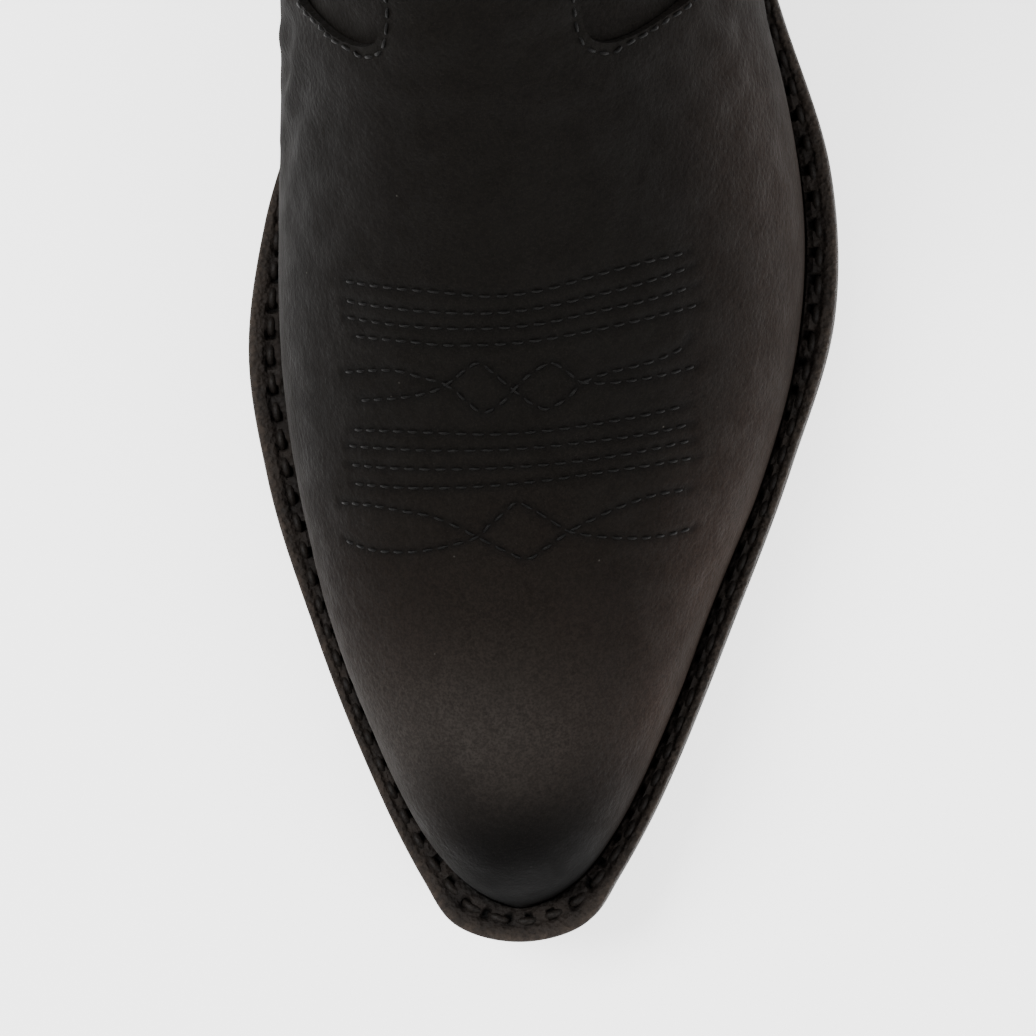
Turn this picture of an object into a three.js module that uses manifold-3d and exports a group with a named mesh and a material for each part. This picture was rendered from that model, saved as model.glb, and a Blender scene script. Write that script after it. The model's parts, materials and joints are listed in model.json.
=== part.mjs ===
// Western boot for the left foot: welted sole, stacked heel, vamp, counter cover and shaft.
// Millimetres, +Z up, toe towards -Y, outer side of the foot towards +X.
// The origin is the middle of the heel's face on the ground.
import * as THREE from 'three';
import { mergeVertices } from 'three/addons/utils/BufferGeometryUtils.js';
import Module from 'manifold-3d';

const wasm = await Module();
wasm.setup();

// ---------------------------------------------------------------- driving dimensions
const SOLE_LENGTH = 286.5;
const BALL_WIDTH = 97.6;
const HEEL_HEIGHT = 37; // ground to sole at the heel's front edge
const HEEL_SEAT_SLOPE = 0.13; // rise of the heel seat towards the back
const TOE_SPRING = 11;
const BOOT_HEIGHT = 330;
const TOP_DIP = 38; // depth of the V in the top line, front and back

const OUTSOLE = 4.2;
const WELT = 3.2;
const UPPER_LEATHER = 1.4;
const INTERLINING = 1.4;
const LINING = 1;
const INSOLE = 2.6;
const FOOTBED = 2.5;
const SHANK = { length: 96, width: 14, thickness: 0.8, start: 150, middle: 3 };
const LASTING_MARGIN = 9;

const LIFT_COUNT = 4;
const LIFT = 5.6;
const TOP_LIFT = 6;
const HEEL_UNDERCUT = 9; // how far the heel's back leans in, from seat to ground
const HEEL_TAPER = 3.5; // how far each side of the heel leans in
const HEEL_FRONT = 226; // station of the heel's front edge

const SEAM_GAP = 1.6;
const PIPING_RADIUS = 1.5;
const PIPING_FLANGE = 1;
const BINDING = 1.2;
const BINDING_DEPTH = 9;
// The strap's loop rises straight above the top edge before it bows over.
const STRAP = { width: 22, thickness: 2, outerLeg: 50, innerLeg: 36, loop: 19, straight: 6 };
const HEEL_NAIL = { radius: 1.4, head: 2.8, headHeight: 1, tip: 9 };
const TOP_LIFT_NAIL = { radius: 1.1, head: 2.2, headHeight: 0.9, bottom: 1.2, tip: 16 };

const GAP = 0.3; // between touching pieces
const WELT_GAP = 0.5; // between the welt and the upper
const LINING_GAP = 0.5; // between the lining and what it backs
const LOOSE = 0.6; // round the insole
const FOOTBED_LOOSE = 1.6;
const JOINT = 1.2; // between two pieces that meet edge to edge

// ---------------------------------------------------------------- the standard last
// Stations run back from the toe tip and are graded to the sole's length and the ball's width.
const STANDARD_LENGTH = 286.5;
const STANDARD_BALL = 97.6;
const LENGTH_GRADE = SOLE_LENGTH / STANDARD_LENGTH;
const WIDTH_GRADE = BALL_WIDTH / STANDARD_BALL;
const TREAD = { front: 97, back: 121 }; // flat on the ground
const WAIST_END_SLOPE = 0.15;
const NOSE = 5.7; // station of the upper's front
const NOSE_SPREAD = 12;
const PIVOT = { station: 148, rise: 115 }; // the sections fan about this point, rise above the seat
const FOOT_END = Math.sqrt((PIVOT.station - NOSE + NOSE_SPREAD) ** 2 - NOSE_SPREAD ** 2);
const FAN_END = FOOT_END + 100;
const SHAFT_SPAN = 178; // row length of the standard shaft
const ANKLE_HEIGHT = HEEL_HEIGHT + PIVOT.rise;
const SHAFT_HEIGHT = BOOT_HEIGHT - ANKLE_HEIGHT;
const BURIED = 3.5; // the last's closed bottom lies this far below the outsole's bottom
const FEATHER = OUTSOLE + GAP; // the upper's lower edge, above the outsole's bottom
const INNER_EDGE = FEATHER + UPPER_LEATHER + GAP;

// Smooth curve through [place, value] points, level beyond its ends.
function curveThrough(points) {
  const last = points.length - 1;
  const slope = (i) => (points[i + 1][1] - points[i][1]) / (points[i + 1][0] - points[i][0]);
  const tangents = points.map((point, i) => {
    if (i === 0) return slope(0);
    if (i === last) return slope(last - 1);
    const before = point[0] - points[i - 1][0];
    const after = points[i + 1][0] - point[0];
    return (slope(i - 1) * after + slope(i) * before) / (before + after);
  });
  return (place) => {
    let i = 0;
    while (i < last - 1 && place > points[i + 1][0]) i += 1;
    const span = points[i + 1][0] - points[i][0];
    const t = THREE.MathUtils.clamp((place - points[i][0]) / span, 0, 1);
    const rise = points[i + 1][1] - points[i][1];
    const ease = t * t * (3 - 2 * t);
    const lead = t * (1 - t) * (1 - t) * span * tangents[i];
    const trail = t * t * (t - 1) * span * tangents[i + 1];
    return points[i][1] + rise * ease + lead + trail;
  };
}

// The place between low and high where a rising function passes zero.
function rootOf(rising, low, high) {
  if (rising(high) <= 0) return high;
  if (rising(low) >= 0) return low;
  for (let step = 0; step < 34; step += 1) {
    const middle = (low + high) / 2;
    if (rising(middle) > 0) high = middle;
    else low = middle;
  }
  return (low + high) / 2;
}

function remember(compute) {
  const known = new Map();
  return (...keys) => {
    const key = keys.join(',');
    if (!known.has(key)) known.set(key, compute(...keys));
    return known.get(key);
  };
}

// Half widths of the sole from its middle line: [station, width].
const SOLE_MEDIAL = [[0, 0], [3, 10.8], [10, 15.8], [23, 22.6], [50, 33.6], [76, 41.7], [97, 44.6],
  [118, 41.5], [150, 30.5], [175, 26], [205, 24.5], [240, 28], [265, 27], [279, 18.5], [286.5, 0]];
const SOLE_LATERAL = [[0, 0], [3, 10.8], [10, 15.8], [23, 22.9], [50, 34.3], [76, 44.4], [101, 52],
  [125, 51.6], [150, 44.5], [180, 36], [210, 33], [240, 33.6], [265, 31.5], [279, 22], [286.5, 0]];

// Stations spread as a circle's, so that the round ends come out round.
const roundPlace = (station) => Math.acos(1 - (2 * station) / STANDARD_LENGTH);
const roundCurve = (points) => {
  const curve = curveThrough(points.map(([station, width]) => [roundPlace(station), width]));
  return (station) => curve(roundPlace(station));
};
const soleMedial = roundCurve(SOLE_MEDIAL);
const soleLateral = roundCurve(SOLE_LATERAL);

// Height of the outsole's bottom face at a station.
function soleHeight(station) {
  if (station < TREAD.front) return TOE_SPRING * ((TREAD.front - station) / TREAD.front) ** 1.6;
  if (station < TREAD.back) return 0;
  if (station > HEEL_FRONT) return HEEL_HEIGHT + HEEL_SEAT_SLOPE * (station - HEEL_FRONT);
  const span = HEEL_FRONT - TREAD.back;
  const t = (station - TREAD.back) / span;
  return HEEL_HEIGHT * t * t * (3 - 2 * t) + span * WAIST_END_SLOPE * t * t * (t - 1);
}

// Rows run along the last: the foot to FOOT_END, the fan round the ankle to FAN_END, then the shaft.
const rowStation = (row) => NOSE + Math.hypot(row, NOSE_SPREAD) - NOSE_SPREAD;
const shaftShare = (row) => (row - FAN_END) / SHAFT_HEIGHT;
const standardRow = (row) => (row < FAN_END ? row : FAN_END + SHAFT_SPAN * shaftShare(row));

// Rise of the instep above the outsole's bottom, by station.
const ridgeRise = curveThrough([[5.7, 9.2], [8, 16.2], [12, 23], [20, 30], [30, 35.2], [45, 40.3],
  [60, 45.6], [75, 51.5], [90, 58.3], [105, 66.5], [120, 76], [135, 85.4], [148, 92.7]]);
// Distance from the pivot to the instep, by share of the fan.
const fanThroat = curveThrough([[0, 54], [0.25, 39], [0.5, 30.5], [0.75, 27.5], [1, 27]]);
const shaftThroat = curveThrough([[0, 27], [0.16, 28], [0.33, 26.5], [0.55, 23], [1, 15]]);
const shaftBack = curveThrough([[0, 133], [0.16, 132], [0.33, 133.5], [0.55, 137], [1, 142]]);
// Station of the heel's back, by height above the seat.
const heelBack = curveThrough([[3, 278.6], [10, 283], [22, 286], [57, 287], [88, 284.3], [115, 281]]);

// Half widths at the widest level, by standard row.
const lastMedial = curveThrough([[0, 0], [6, 5], [13, 10.2], [20, 14.6], [37, 22.6], [54, 29.2],
  [74, 34.3], [97, 37.6], [126, 37.2], [FOOT_END, 34.2], [FOOT_END + 30, 30.5], [FOOT_END + 50, 30],
  [FOOT_END + 66, 32.5], [FAN_END, 37], [FAN_END + 80, 43.5], [FAN_END + SHAFT_SPAN, 49]]);
const lastLateral = curveThrough([[0, 0], [6, 5.4], [13, 11], [20, 15.2], [39, 24], [60, 32],
  [80, 40.2], [100, 45.8], [118, 47.6], [140, 45.6], [FOOT_END, 42.8], [FOOT_END + 30, 36],
  [FOOT_END + 50, 34.2], [FOOT_END + 66, 36], [FAN_END, 40], [FAN_END + 80, 47],
  [FAN_END + SHAFT_SPAN, 52]]);
// How far up a section it is widest, and how square it is above and below that.
const widestLevel = curveThrough([[0, 0.5], [30, 0.36], [90, 0.23], [126, 0.2], [FOOT_END, 0.24],
  [FOOT_END + 30, 0.3], [FOOT_END + 50, 0.4], [FAN_END, 0.5]]);
const squareAbove = curveThrough([[0, 2.1], [60, 2.1], [110, 1.9], [FOOT_END, 1.75],
  [FOOT_END + 50, 1.85], [FAN_END, 2.1]]);
const squareBelow = {
  [-1]: curveThrough([[0, 3], [60, 3.6], [110, 3.3], [FOOT_END, 2.2], [FOOT_END + 30, 2],
    [FOOT_END + 50, 3.2], [FOOT_END + 64, 3], [FAN_END, 2.2]]),
  1: curveThrough([[0, 3], [60, 3.6], [110, 3.7], [FOOT_END, 3.2], [FOOT_END + 30, 2.7],
    [FOOT_END + 50, 3.4], [FOOT_END + 64, 3], [FAN_END, 2.2]]),
};

function pivotPoint(turn, reach) {
  const station = PIVOT.station + reach * Math.sin(turn);
  return { station, height: ANKLE_HEIGHT - reach * Math.cos(turn) };
}

// From the pivot to the last's closed bottom or back, whichever is nearer, with the corner eased.
function fanReach(turn) {
  const farthest = 400;
  const belowSole = (reach) => {
    const point = pivotPoint(turn, reach);
    return soleHeight(Math.min(point.station, STANDARD_LENGTH)) - BURIED - point.height;
  };
  const pastBack = (reach) => {
    const point = pivotPoint(turn, reach);
    return point.station - heelBack(point.height - HEEL_HEIGHT);
  };
  const sole = rootOf(belowSole, 0, farthest);
  const back = rootOf(pastBack, 0, farthest);
  const sharpness = 14;
  return (sole ** -sharpness + back ** -sharpness) ** (-1 / sharpness);
}

// The front and back ends of a section, in stations and heights.
function sectionEnds(row) {
  if (row < FOOT_END) {
    const station = rowStation(row);
    const ground = soleHeight(station);
    return [{ station, height: ground + ridgeRise(station) }, { station, height: ground - BURIED }];
  }
  if (row < FAN_END) {
    const share = (row - FOOT_END) / 100;
    const turn = (share * Math.PI) / 2;
    return [pivotPoint(turn, fanThroat(share)), pivotPoint(turn, fanReach(turn))];
  }
  const height = ANKLE_HEIGHT + row - FAN_END;
  const share = shaftShare(row);
  const front = { station: PIVOT.station + shaftThroat(share), height };
  return [front, { station: PIVOT.station + shaftBack(share), height }];
}

const heelFrontAt = (height) => HEEL_FRONT + 1.5 * (1 - height / HEEL_HEIGHT);
const heelBackAt = (height) => STANDARD_LENGTH - 1 - HEEL_UNDERCUT * (1 - height / (HEEL_HEIGHT + 8));
const ORIGIN_STATION = (heelFrontAt(0) + heelBackAt(0)) / 2;

const toSpace = (x, station, height) =>
  new THREE.Vector3(x * WIDTH_GRADE, (station - ORIGIN_STATION) * LENGTH_GRADE, height);
const stationOf = (point) => point.y / LENGTH_GRADE + ORIGIN_STATION;
const onBoot = (station) => THREE.MathUtils.clamp(station, 0, STANDARD_LENGTH);
const heightOverSole = (point) => point.z - soleHeight(onBoot(stationOf(point)));

// A point of a section, from the ridge (angle 0) round one side to its other end (angle pi).
function sectionPoint(section, side, angle) {
  const above = angle < Math.PI / 2;
  const power = above ? section.above : section.below[side];
  const across = Math.abs(Math.sin(angle));
  const along = Math.cos(angle);
  const radius = (across ** power + Math.abs(along) ** power) ** (-1 / power);
  const reach = above ? 1 - section.level : section.level;
  const share = section.level + reach * radius * along;
  const x = side * (side < 0 ? section.medial : section.lateral) * radius * across;
  const [ridge, base] = section.ends;
  const station = base.station + (ridge.station - base.station) * share;
  return toSpace(x, station, base.height + (ridge.height - base.height) * share);
}

const ARC_STEPS = 48;

const sectionAt = remember((row) => {
  const place = standardRow(row);
  const section = {
    ends: sectionEnds(row),
    medial: lastMedial(place),
    lateral: lastLateral(place),
    level: widestLevel(place),
    above: squareAbove(place),
    below: { [-1]: squareBelow[-1](place), 1: squareBelow[1](place) },
    arcs: {},
  };
  for (const side of [-1, 1]) {
    const arc = [0];
    let before = sectionPoint(section, side, 0);
    for (let step = 1; step <= ARC_STEPS; step += 1) {
      const point = sectionPoint(section, side, (Math.PI * step) / ARC_STEPS);
      arc.push(arc[step - 1] + point.distanceTo(before));
      before = point;
    }
    section.arcs[side] = arc;
  }
  return section;
});

// The last's surface: share runs from 0 on the ridge to 1 (outer side) or -1 (inner side) at the far end.
function onLast(row, share) {
  if (share > 1) share -= 2;
  if (share < -1) share += 2;
  const section = sectionAt(row);
  const side = share < 0 ? -1 : 1;
  const arc = section.arcs[side];
  const wanted = Math.abs(share) * arc[ARC_STEPS];
  let step = 0;
  while (step < ARC_STEPS - 1 && arc[step + 1] < wanted) step += 1;
  const part = (wanted - arc[step]) / Math.max(arc[step + 1] - arc[step], 1e-9);
  return sectionPoint(section, side, (Math.PI * (step + part)) / ARC_STEPS);
}

function sideNormal(row, share) {
  const rowStep = 0.4;
  const shareStep = 0.012;
  const along = onLast(row + rowStep, share).sub(onLast(row - rowStep, share));
  const around = onLast(row, share + shareStep).sub(onLast(row, share - shareStep));
  return around.cross(along).normalize();
}

// At the nose the two sides meet in one upright line, so they share a normal.
function lastNormal(row, share) {
  if (row > 0) return sideNormal(Math.max(row, 0.6), share);
  return sideNormal(0.6, share).add(sideNormal(0.6, -share)).setX(0).normalize();
}

const offLast = (row, share, offset) => onLast(row, share).addScaledVector(lastNormal(row, share), offset);
const arcLength = (row, side) => sectionAt(row).arcs[side][ARC_STEPS];

// Where a section's side comes down to a height over the outsole's bottom.
const shareAtHeight = remember((row, side, height, offset = 0) => {
  const pointAt = (share) => (offset ? offLast(row, share, offset) : onLast(row, share));
  return rootOf((share) => height - heightOverSole(pointAt(side * share)), 0, 1);
});

// The side seam: nearly upright, just in front of the heel.
const seamStation = curveThrough([[40, 216], [152, 226], [330, 227]]);
const seamShare = remember((row, side, shift) =>
  rootOf((share) => {
    const point = onLast(row, side * share);
    return (stationOf(point) - seamStation(point.z)) * LENGTH_GRADE - shift;
  }, 0, 1));

const SIDES = [-1, 1];
const SIDE_NAMES = { [-1]: 'medial', 1: 'lateral' };
const sideOf = (column) => (column < 0 ? -1 : 1);

// ---------------------------------------------------------------- solids
function geometryFrom(points, triangles) {
  const welded = new Map();
  const positions = [];
  const index = points.map((point) => {
    const key = point.toArray().map((value) => Math.round(value * 500)).join(',');
    if (!welded.has(key)) {
      welded.set(key, positions.length / 3);
      positions.push(...point.toArray());
    }
    return welded.get(key);
  });
  const faces = [];
  for (const triangle of triangles) {
    const [a, b, c] = triangle.map((corner) => index[corner]);
    if (a !== b && b !== c && c !== a) faces.push(a, b, c);
  }
  const geometry = new THREE.BufferGeometry();
  geometry.setAttribute('position', new THREE.Float32BufferAttribute(positions, 3));
  geometry.setIndex(signedVolume(positions, faces) < 0 ? faces.reverse() : faces);
  return geometry;
}

function signedVolume(positions, faces) {
  const corner = (i) => new THREE.Vector3().fromArray(positions, faces[i] * 3);
  let volume = 0;
  for (let i = 0; i < faces.length; i += 3) {
    volume += corner(i).dot(corner(i + 1).cross(corner(i + 2))) / 6;
  }
  return volume;
}

// A solid between two faces over a lattice. at(row, column) gives the outer and the inner point, and
// only the part where keep(row, column) is positive is made. On a nose sheet the two halves of the
// first row lie together, so that edge gets no wall.
function sheet(rows, columns, at, { keep = () => 1, nose = false } = {}) {
  const outer = [];
  const inner = [];
  const params = [];
  const numbers = new Map();
  const pointsAt = remember(at);
  const vertex = (key, row, [outerPoint, innerPoint]) => {
    if (!numbers.has(key)) {
      numbers.set(key, outer.length);
      outer.push(outerPoint);
      inner.push(innerPoint);
      params.push(row);
    }
    return numbers.get(key);
  };
  const corner = (i, j) => ({ row: rows[i], column: columns[j], keep: keep(rows[i], columns[j]) });
  const whole = ({ row, column }) => vertex(`${row},${column}`, row, pointsAt(row, column));
  // A cut edge's end stays on the straight line between its two lattice points.
  const crossing = (kept, cut) => {
    const mix = (from, to, t) => from + (to - from) * t;
    const along = (t) => -keep(mix(kept.row, cut.row, t), mix(kept.column, cut.column, t));
    const t = THREE.MathUtils.clamp(rootOf(along, 0, 1), 0.06, 0.94);
    const from = pointsAt(kept.row, kept.column);
    const to = pointsAt(cut.row, cut.column);
    const key = `${kept.row},${kept.column}|${cut.row},${cut.column}`;
    const cutPoints = [0, 1].map((face) => from[face].clone().lerp(to[face], t));
    return vertex(key, mix(kept.row, cut.row, t), cutPoints);
  };
  const faces = [];
  const addTriangle = (corners) => {
    const ring = [];
    corners.forEach((here, i) => {
      const next = corners[(i + 1) % 3];
      if (here.keep > 0) ring.push(whole(here));
      if (here.keep > 0 && next.keep <= 0) ring.push(crossing(here, next));
      if (here.keep <= 0 && next.keep > 0) ring.push(crossing(next, here));
    });
    for (let i = 2; i < ring.length; i += 1) faces.push([ring[0], ring[i - 1], ring[i]]);
  };
  for (let i = 0; i + 1 < rows.length; i += 1) {
    for (let j = 0; j + 1 < columns.length; j += 1) {
      const [a, b, c, d] = [corner(i, j), corner(i + 1, j), corner(i + 1, j + 1), corner(i, j + 1)];
      addTriangle([a, b, c]);
      addTriangle([a, c, d]);
    }
  }
  const joined = (a, b) => nose && params[a] === rows[0] && params[b] === rows[0];
  return geometryFrom([...outer, ...inner], closeSheet(faces, outer.length, joined));
}

// Adds the inner face, and a wall along each edge that isn't joined to another.
function closeSheet(faces, count, joined) {
  const edges = new Set(faces.flatMap(([a, b, c]) => [`${a},${b}`, `${b},${c}`, `${c},${a}`]));
  const triangles = [...faces];
  for (const [a, b, c] of faces) {
    triangles.push([c + count, b + count, a + count]);
    for (const [from, to] of [[a, b], [b, c], [c, a]]) {
      if (edges.has(`${to},${from}`) || joined(from, to)) continue;
      triangles.push([to, from, from + count], [to, from + count, to + count]);
    }
  }
  return triangles;
}

const spread = (from, to, count) =>
  Array.from({ length: count + 1 }, (unused, i) => from + ((to - from) * i) / count);

function toManifold(geometry) {
  const plain = geometry.clone();
  plain.deleteAttribute('normal');
  plain.deleteAttribute('uv');
  const merged = mergeVertices(plain, 1e-4);
  return new wasm.Manifold(new wasm.Mesh({
    numProp: 3,
    vertProperties: merged.attributes.position.array,
    triVerts: Uint32Array.from(merged.index.array),
  }));
}

function fromManifold(solid) {
  const mesh = solid.getMesh();
  const geometry = new THREE.BufferGeometry();
  geometry.setAttribute('position', new THREE.BufferAttribute(Float32Array.from(mesh.vertProperties), 3));
  geometry.setIndex(Array.from(mesh.triVerts));
  return geometry;
}

const without = (geometry, cutters) =>
  fromManifold(cutters.reduce((solid, cutter) => solid.subtract(toManifold(cutter)), toManifold(geometry)));

// ---------------------------------------------------------------- the upper
// Offsets of each layer's two faces from the last's surface.
const SKIN = [0, -UPPER_LEATHER];
const MIDDLE = [SKIN[1] - GAP, SKIN[1] - GAP - INTERLINING];
const INSIDE = [MIDDLE[1] - LINING_GAP, MIDDLE[1] - LINING_GAP - LINING];

const PUFF_END = 57; // row where the toe puff ends
const TONGUE_HALF = 17;
const TONGUE_SHIFT = 5; // the tongue's foot lies this far to the outer side of the ridge
const TONGUE_ROUNDING = 9;
const TONGUE_TOP = FAN_END + 26;
const SCALLOP_ROW = FOOT_END - 9; // bottom of the scallops
const ARM_FOOT_ROW = FOOT_END + 48; // where the vamp's top edge meets the side seam
const LOWER_ROW = FOOT_END - 26; // where the front shaft panel ends, under the vamp
const STRAIGHT_ROW = FAN_END + 34; // above this row the rows spread to meet the top line
const TOP_ROW = FAN_END + SHAFT_HEIGHT;
const topDip = (column) => TOP_DIP * 0.5 * (1 + Math.cos(Math.PI * Math.abs(column) ** 0.8));
const topRow = (column) => TOP_ROW - topDip(THREE.MathUtils.clamp(column, -1, 1));

// Front half: columns run from -1 (inner seam) to 1 (outer seam); 2 is the feather line and 3 the margin.
function frontEdge(row, side) {
  return Math.min(shareAtHeight(row, side, INNER_EDGE), seamShare(row, side, -SEAM_GAP / 2));
}
function frontRow(row, column) {
  if (row <= STRAIGHT_ROW) return row;
  return STRAIGHT_ROW + ((row - STRAIGHT_ROW) / (TOP_ROW - STRAIGHT_ROW)) * (topRow(column) - STRAIGHT_ROW);
}
function frontShare(row, column) {
  return column * frontEdge(row, sideOf(column));
}
// Nearer the side seam than this many rows, the lasting margin narrows.
const MARGIN_RUN_OUT = 12;
// The row where the side seam meets the feather line.
const seamFoot = rootOf((row) => {
  const point = onLast(row, shareAtHeight(row, 1, FEATHER));
  return stationOf(point) - seamStation(point.z) + SEAM_GAP / 2;
}, FOOT_END, FOOT_END + 60);

// The lasting margin, folded under along the feather line.
function marginPoints(feather, normal, width, leather) {
  const inward = new THREE.Vector3(-normal.x, -normal.y, 0).normalize();
  const outer = feather.clone().addScaledVector(inward, width);
  outer.z = soleHeight(onBoot(stationOf(outer))) + FEATHER;
  const fold = feather.clone().addScaledVector(inward, leather);
  fold.z = soleHeight(stationOf(fold)) + FEATHER + leather;
  return { fold, outer, inner: outer.clone().setZ(outer.z + leather) };
}

function frontPoints([outerOffset, innerOffset]) {
  return (row, column) => {
    const side = sideOf(column);
    const flat = THREE.MathUtils.clamp(column, -1, 1);
    const realRow = frontRow(row, flat);
    const share = frontShare(realRow, flat);
    if (Math.abs(column) <= 1 || row >= seamFoot) {
      return [offLast(realRow, share, outerOffset), offLast(realRow, share, innerOffset)];
    }
    const featherShare = side * shareAtHeight(realRow, side, FEATHER);
    const feather = onLast(realRow, featherShare);
    const room = Math.min(1, (seamFoot - row) / MARGIN_RUN_OUT);
    const width = UPPER_LEATHER + (LASTING_MARGIN - UPPER_LEATHER) * room;
    const margin = marginPoints(feather, lastNormal(realRow, featherShare), width, UPPER_LEATHER);
    return Math.abs(column) < 2.5 ? [feather, margin.fold] : [margin.outer, margin.inner];
  };
}

// Back half: columns run from -1 (inner seam) over 0 (middle of the heel) to 1 (outer seam).
// Row -2 is the margin, -1 the feather line, 0 to 1 the heel and ankle, 1 to 2 the shaft.
function backShare(row, column, side = sideOf(column)) {
  const seam = seamShare(row, side, SEAM_GAP / 2);
  return side * (1 - Math.abs(column) * (1 - seam));
}
const backRowAtHeight = remember((column, height, offset = 0) => rootOf((row) => {
  const share = backShare(row, column);
  return heightOverSole(offset ? offLast(row, share, offset) : onLast(row, share)) - height;
}, FOOT_END + 12, FAN_END));
function backRow(row, column) {
  const low = backRowAtHeight(column, INNER_EDGE);
  if (row <= 1) return low + (STRAIGHT_ROW - low) * Math.max(row, 0);
  return STRAIGHT_ROW + (topRow(column) - STRAIGHT_ROW) * (row - 1);
}
function backPoints([outerOffset, innerOffset]) {
  return (row, column) => {
    if (row >= 0) {
      const realRow = backRow(row, column);
      const share = backShare(realRow, column);
      return [offLast(realRow, share, outerOffset), offLast(realRow, share, innerOffset)];
    }
    const realRow = backRowAtHeight(column, FEATHER);
    const share = backShare(realRow, column);
    const feather = onLast(realRow, share);
    const margin = marginPoints(feather, lastNormal(realRow, share), LASTING_MARGIN, UPPER_LEATHER);
    return row > -1.5 ? [feather, margin.fold] : [margin.outer, margin.inner];
  };
}

const FOOT_ROWS = [0, 2.4, 5.5, 9.5, 14.5, 21, 29, 38, 48, ...spread(PUFF_END, FOOT_END, 9)];
const SCALLOP_ROWS = spread(SCALLOP_ROW - 4, SCALLOP_ROW + 25, 7);
const ANKLE_ROWS = [...spread(FOOT_END, seamFoot, 4).slice(1), ...spread(seamFoot, FAN_END, 7).slice(1)];
const UPPER_ROWS = spread(STRAIGHT_ROW, TOP_ROW, 5);
const plainRows = [...FOOT_ROWS, ...ANKLE_ROWS]
  .filter((row) => row < SCALLOP_ROW - 6 || row > SCALLOP_ROW + 28);
const FRONT_ROWS = [...plainRows, ...SCALLOP_ROWS, FAN_END + 13, TONGUE_TOP + 1, ...UPPER_ROWS]
  .sort((a, b) => a - b);
const FRONT_COLUMNS = [...spread(-1, 1, 14), -0.21, 0.21].sort((a, b) => a - b);
const COARSE_COLUMNS = spread(-1, 1, 7);
const BACK_STEPS = 7; // columns from the side seam to the middle of the heel
const BACK_ROWS = [...spread(0, 1, 10), ...spread(1, 2, 5).slice(1)];
const BACK_COLUMNS = spread(-1, 1, 2 * BACK_STEPS);

// The vamp's top edge: a tongue, a rounded scallop each side of it, then an arm to the side seam.
const frontArc = (row, side) => frontEdge(row, side) * arcLength(row, side);
const armCurve = (side) => curveThrough([[SCALLOP_ROW, TONGUE_HALF + 7],
  [SCALLOP_ROW + 4, TONGUE_HALF + 17], [SCALLOP_ROW + 10, TONGUE_HALF + 31],
  [SCALLOP_ROW + 27, TONGUE_HALF + 48],
  [ARM_FOOT_ROW, frontArc(ARM_FOOT_ROW, side)]]);
const armArcs = Object.fromEntries(SIDES.map((side) => [side, armCurve(side)]));
const softLeast = (...values) => {
  const softness = 1.6;
  return -softness * Math.log(values.reduce((sum, value) => sum + Math.exp(-value / softness), 0));
};
// The middle of the tongue, from the ridge towards the outer side.
const tongueMiddle = (row) =>
  TONGUE_SHIFT * (1 - THREE.MathUtils.smoothstep(row, SCALLOP_ROW + 10, ARM_FOOT_ROW));
function vampKeep(row, column) {
  const place = THREE.MathUtils.clamp(column, -1, 1) * frontArc(row, sideOf(column)) - tongueMiddle(row);
  const side = sideOf(place);
  const arc = Math.abs(place);
  const scallop = softLeast(arc - TONGUE_HALF, armArcs[side](row) - arc, row - SCALLOP_ROW);
  const aboveArm = row > ARM_FOOT_ROW ? arc - TONGUE_HALF : -Infinity;
  const tongueEnd = row - TONGUE_TOP + (Math.min(arc, TONGUE_HALF) / TONGUE_ROUNDING) ** 2;
  return -Math.max(scallop, aboveArm, tongueEnd);
}
const panelFoot = (column) => LOWER_ROW + (ARM_FOOT_ROW - 8 - LOWER_ROW) * Math.abs(column) ** 1.6;

function vampPieces() {
  const rows = FRONT_ROWS.filter((row) => row <= TONGUE_TOP + 1);
  const belowPanel = (row, column) => panelFoot(column) - JOINT - row;
  const middleRows = FRONT_ROWS.filter((row) => row >= PUFF_END && row <= FAN_END);
  return {
    vamp: sheet(rows, [-3, -2, ...FRONT_COLUMNS, 2, 3], frontPoints(SKIN),
      { keep: vampKeep, nose: true }),
    toe_puff: sheet(FRONT_ROWS.filter((row) => row <= PUFF_END - JOINT), FRONT_COLUMNS,
      frontPoints(MIDDLE), { nose: true }),
    vamp_interlining: sheet(middleRows, FRONT_COLUMNS, frontPoints(MIDDLE), { keep: belowPanel }),
  };
}

function shaftPieces() {
  const joint = FAN_END;
  const lowRows = FRONT_ROWS.filter((row) => row <= joint);
  const highRows = [joint + JOINT, ...FRONT_ROWS.filter((row) => row > joint + JOINT)];
  const panelRows = FRONT_ROWS.filter((row) => row >= LOWER_ROW - 14);
  return {
    shaft_front: sheet(panelRows, FRONT_COLUMNS, frontPoints(MIDDLE),
      { keep: (row, column) => row - panelFoot(column) }),
    vamp_lining: sheet(lowRows, COARSE_COLUMNS, frontPoints(INSIDE), { nose: true }),
    shaft_lining_front: sheet(highRows, FRONT_COLUMNS, frontPoints(INSIDE)),
    shaft_lining_back: sheet(BACK_ROWS, BACK_COLUMNS, backPoints(INSIDE)),
  };
}

// Heights of the back pieces' edges at a column: low at the seams and high at the back of the heel.
const stiffenerTop = (column) => HEEL_HEIGHT + 68 - 40 * Math.abs(column) ** 1.5;
const coverTop = (column) => HEEL_HEIGHT + 84 - 44 * Math.abs(column) ** 1.5;

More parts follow.
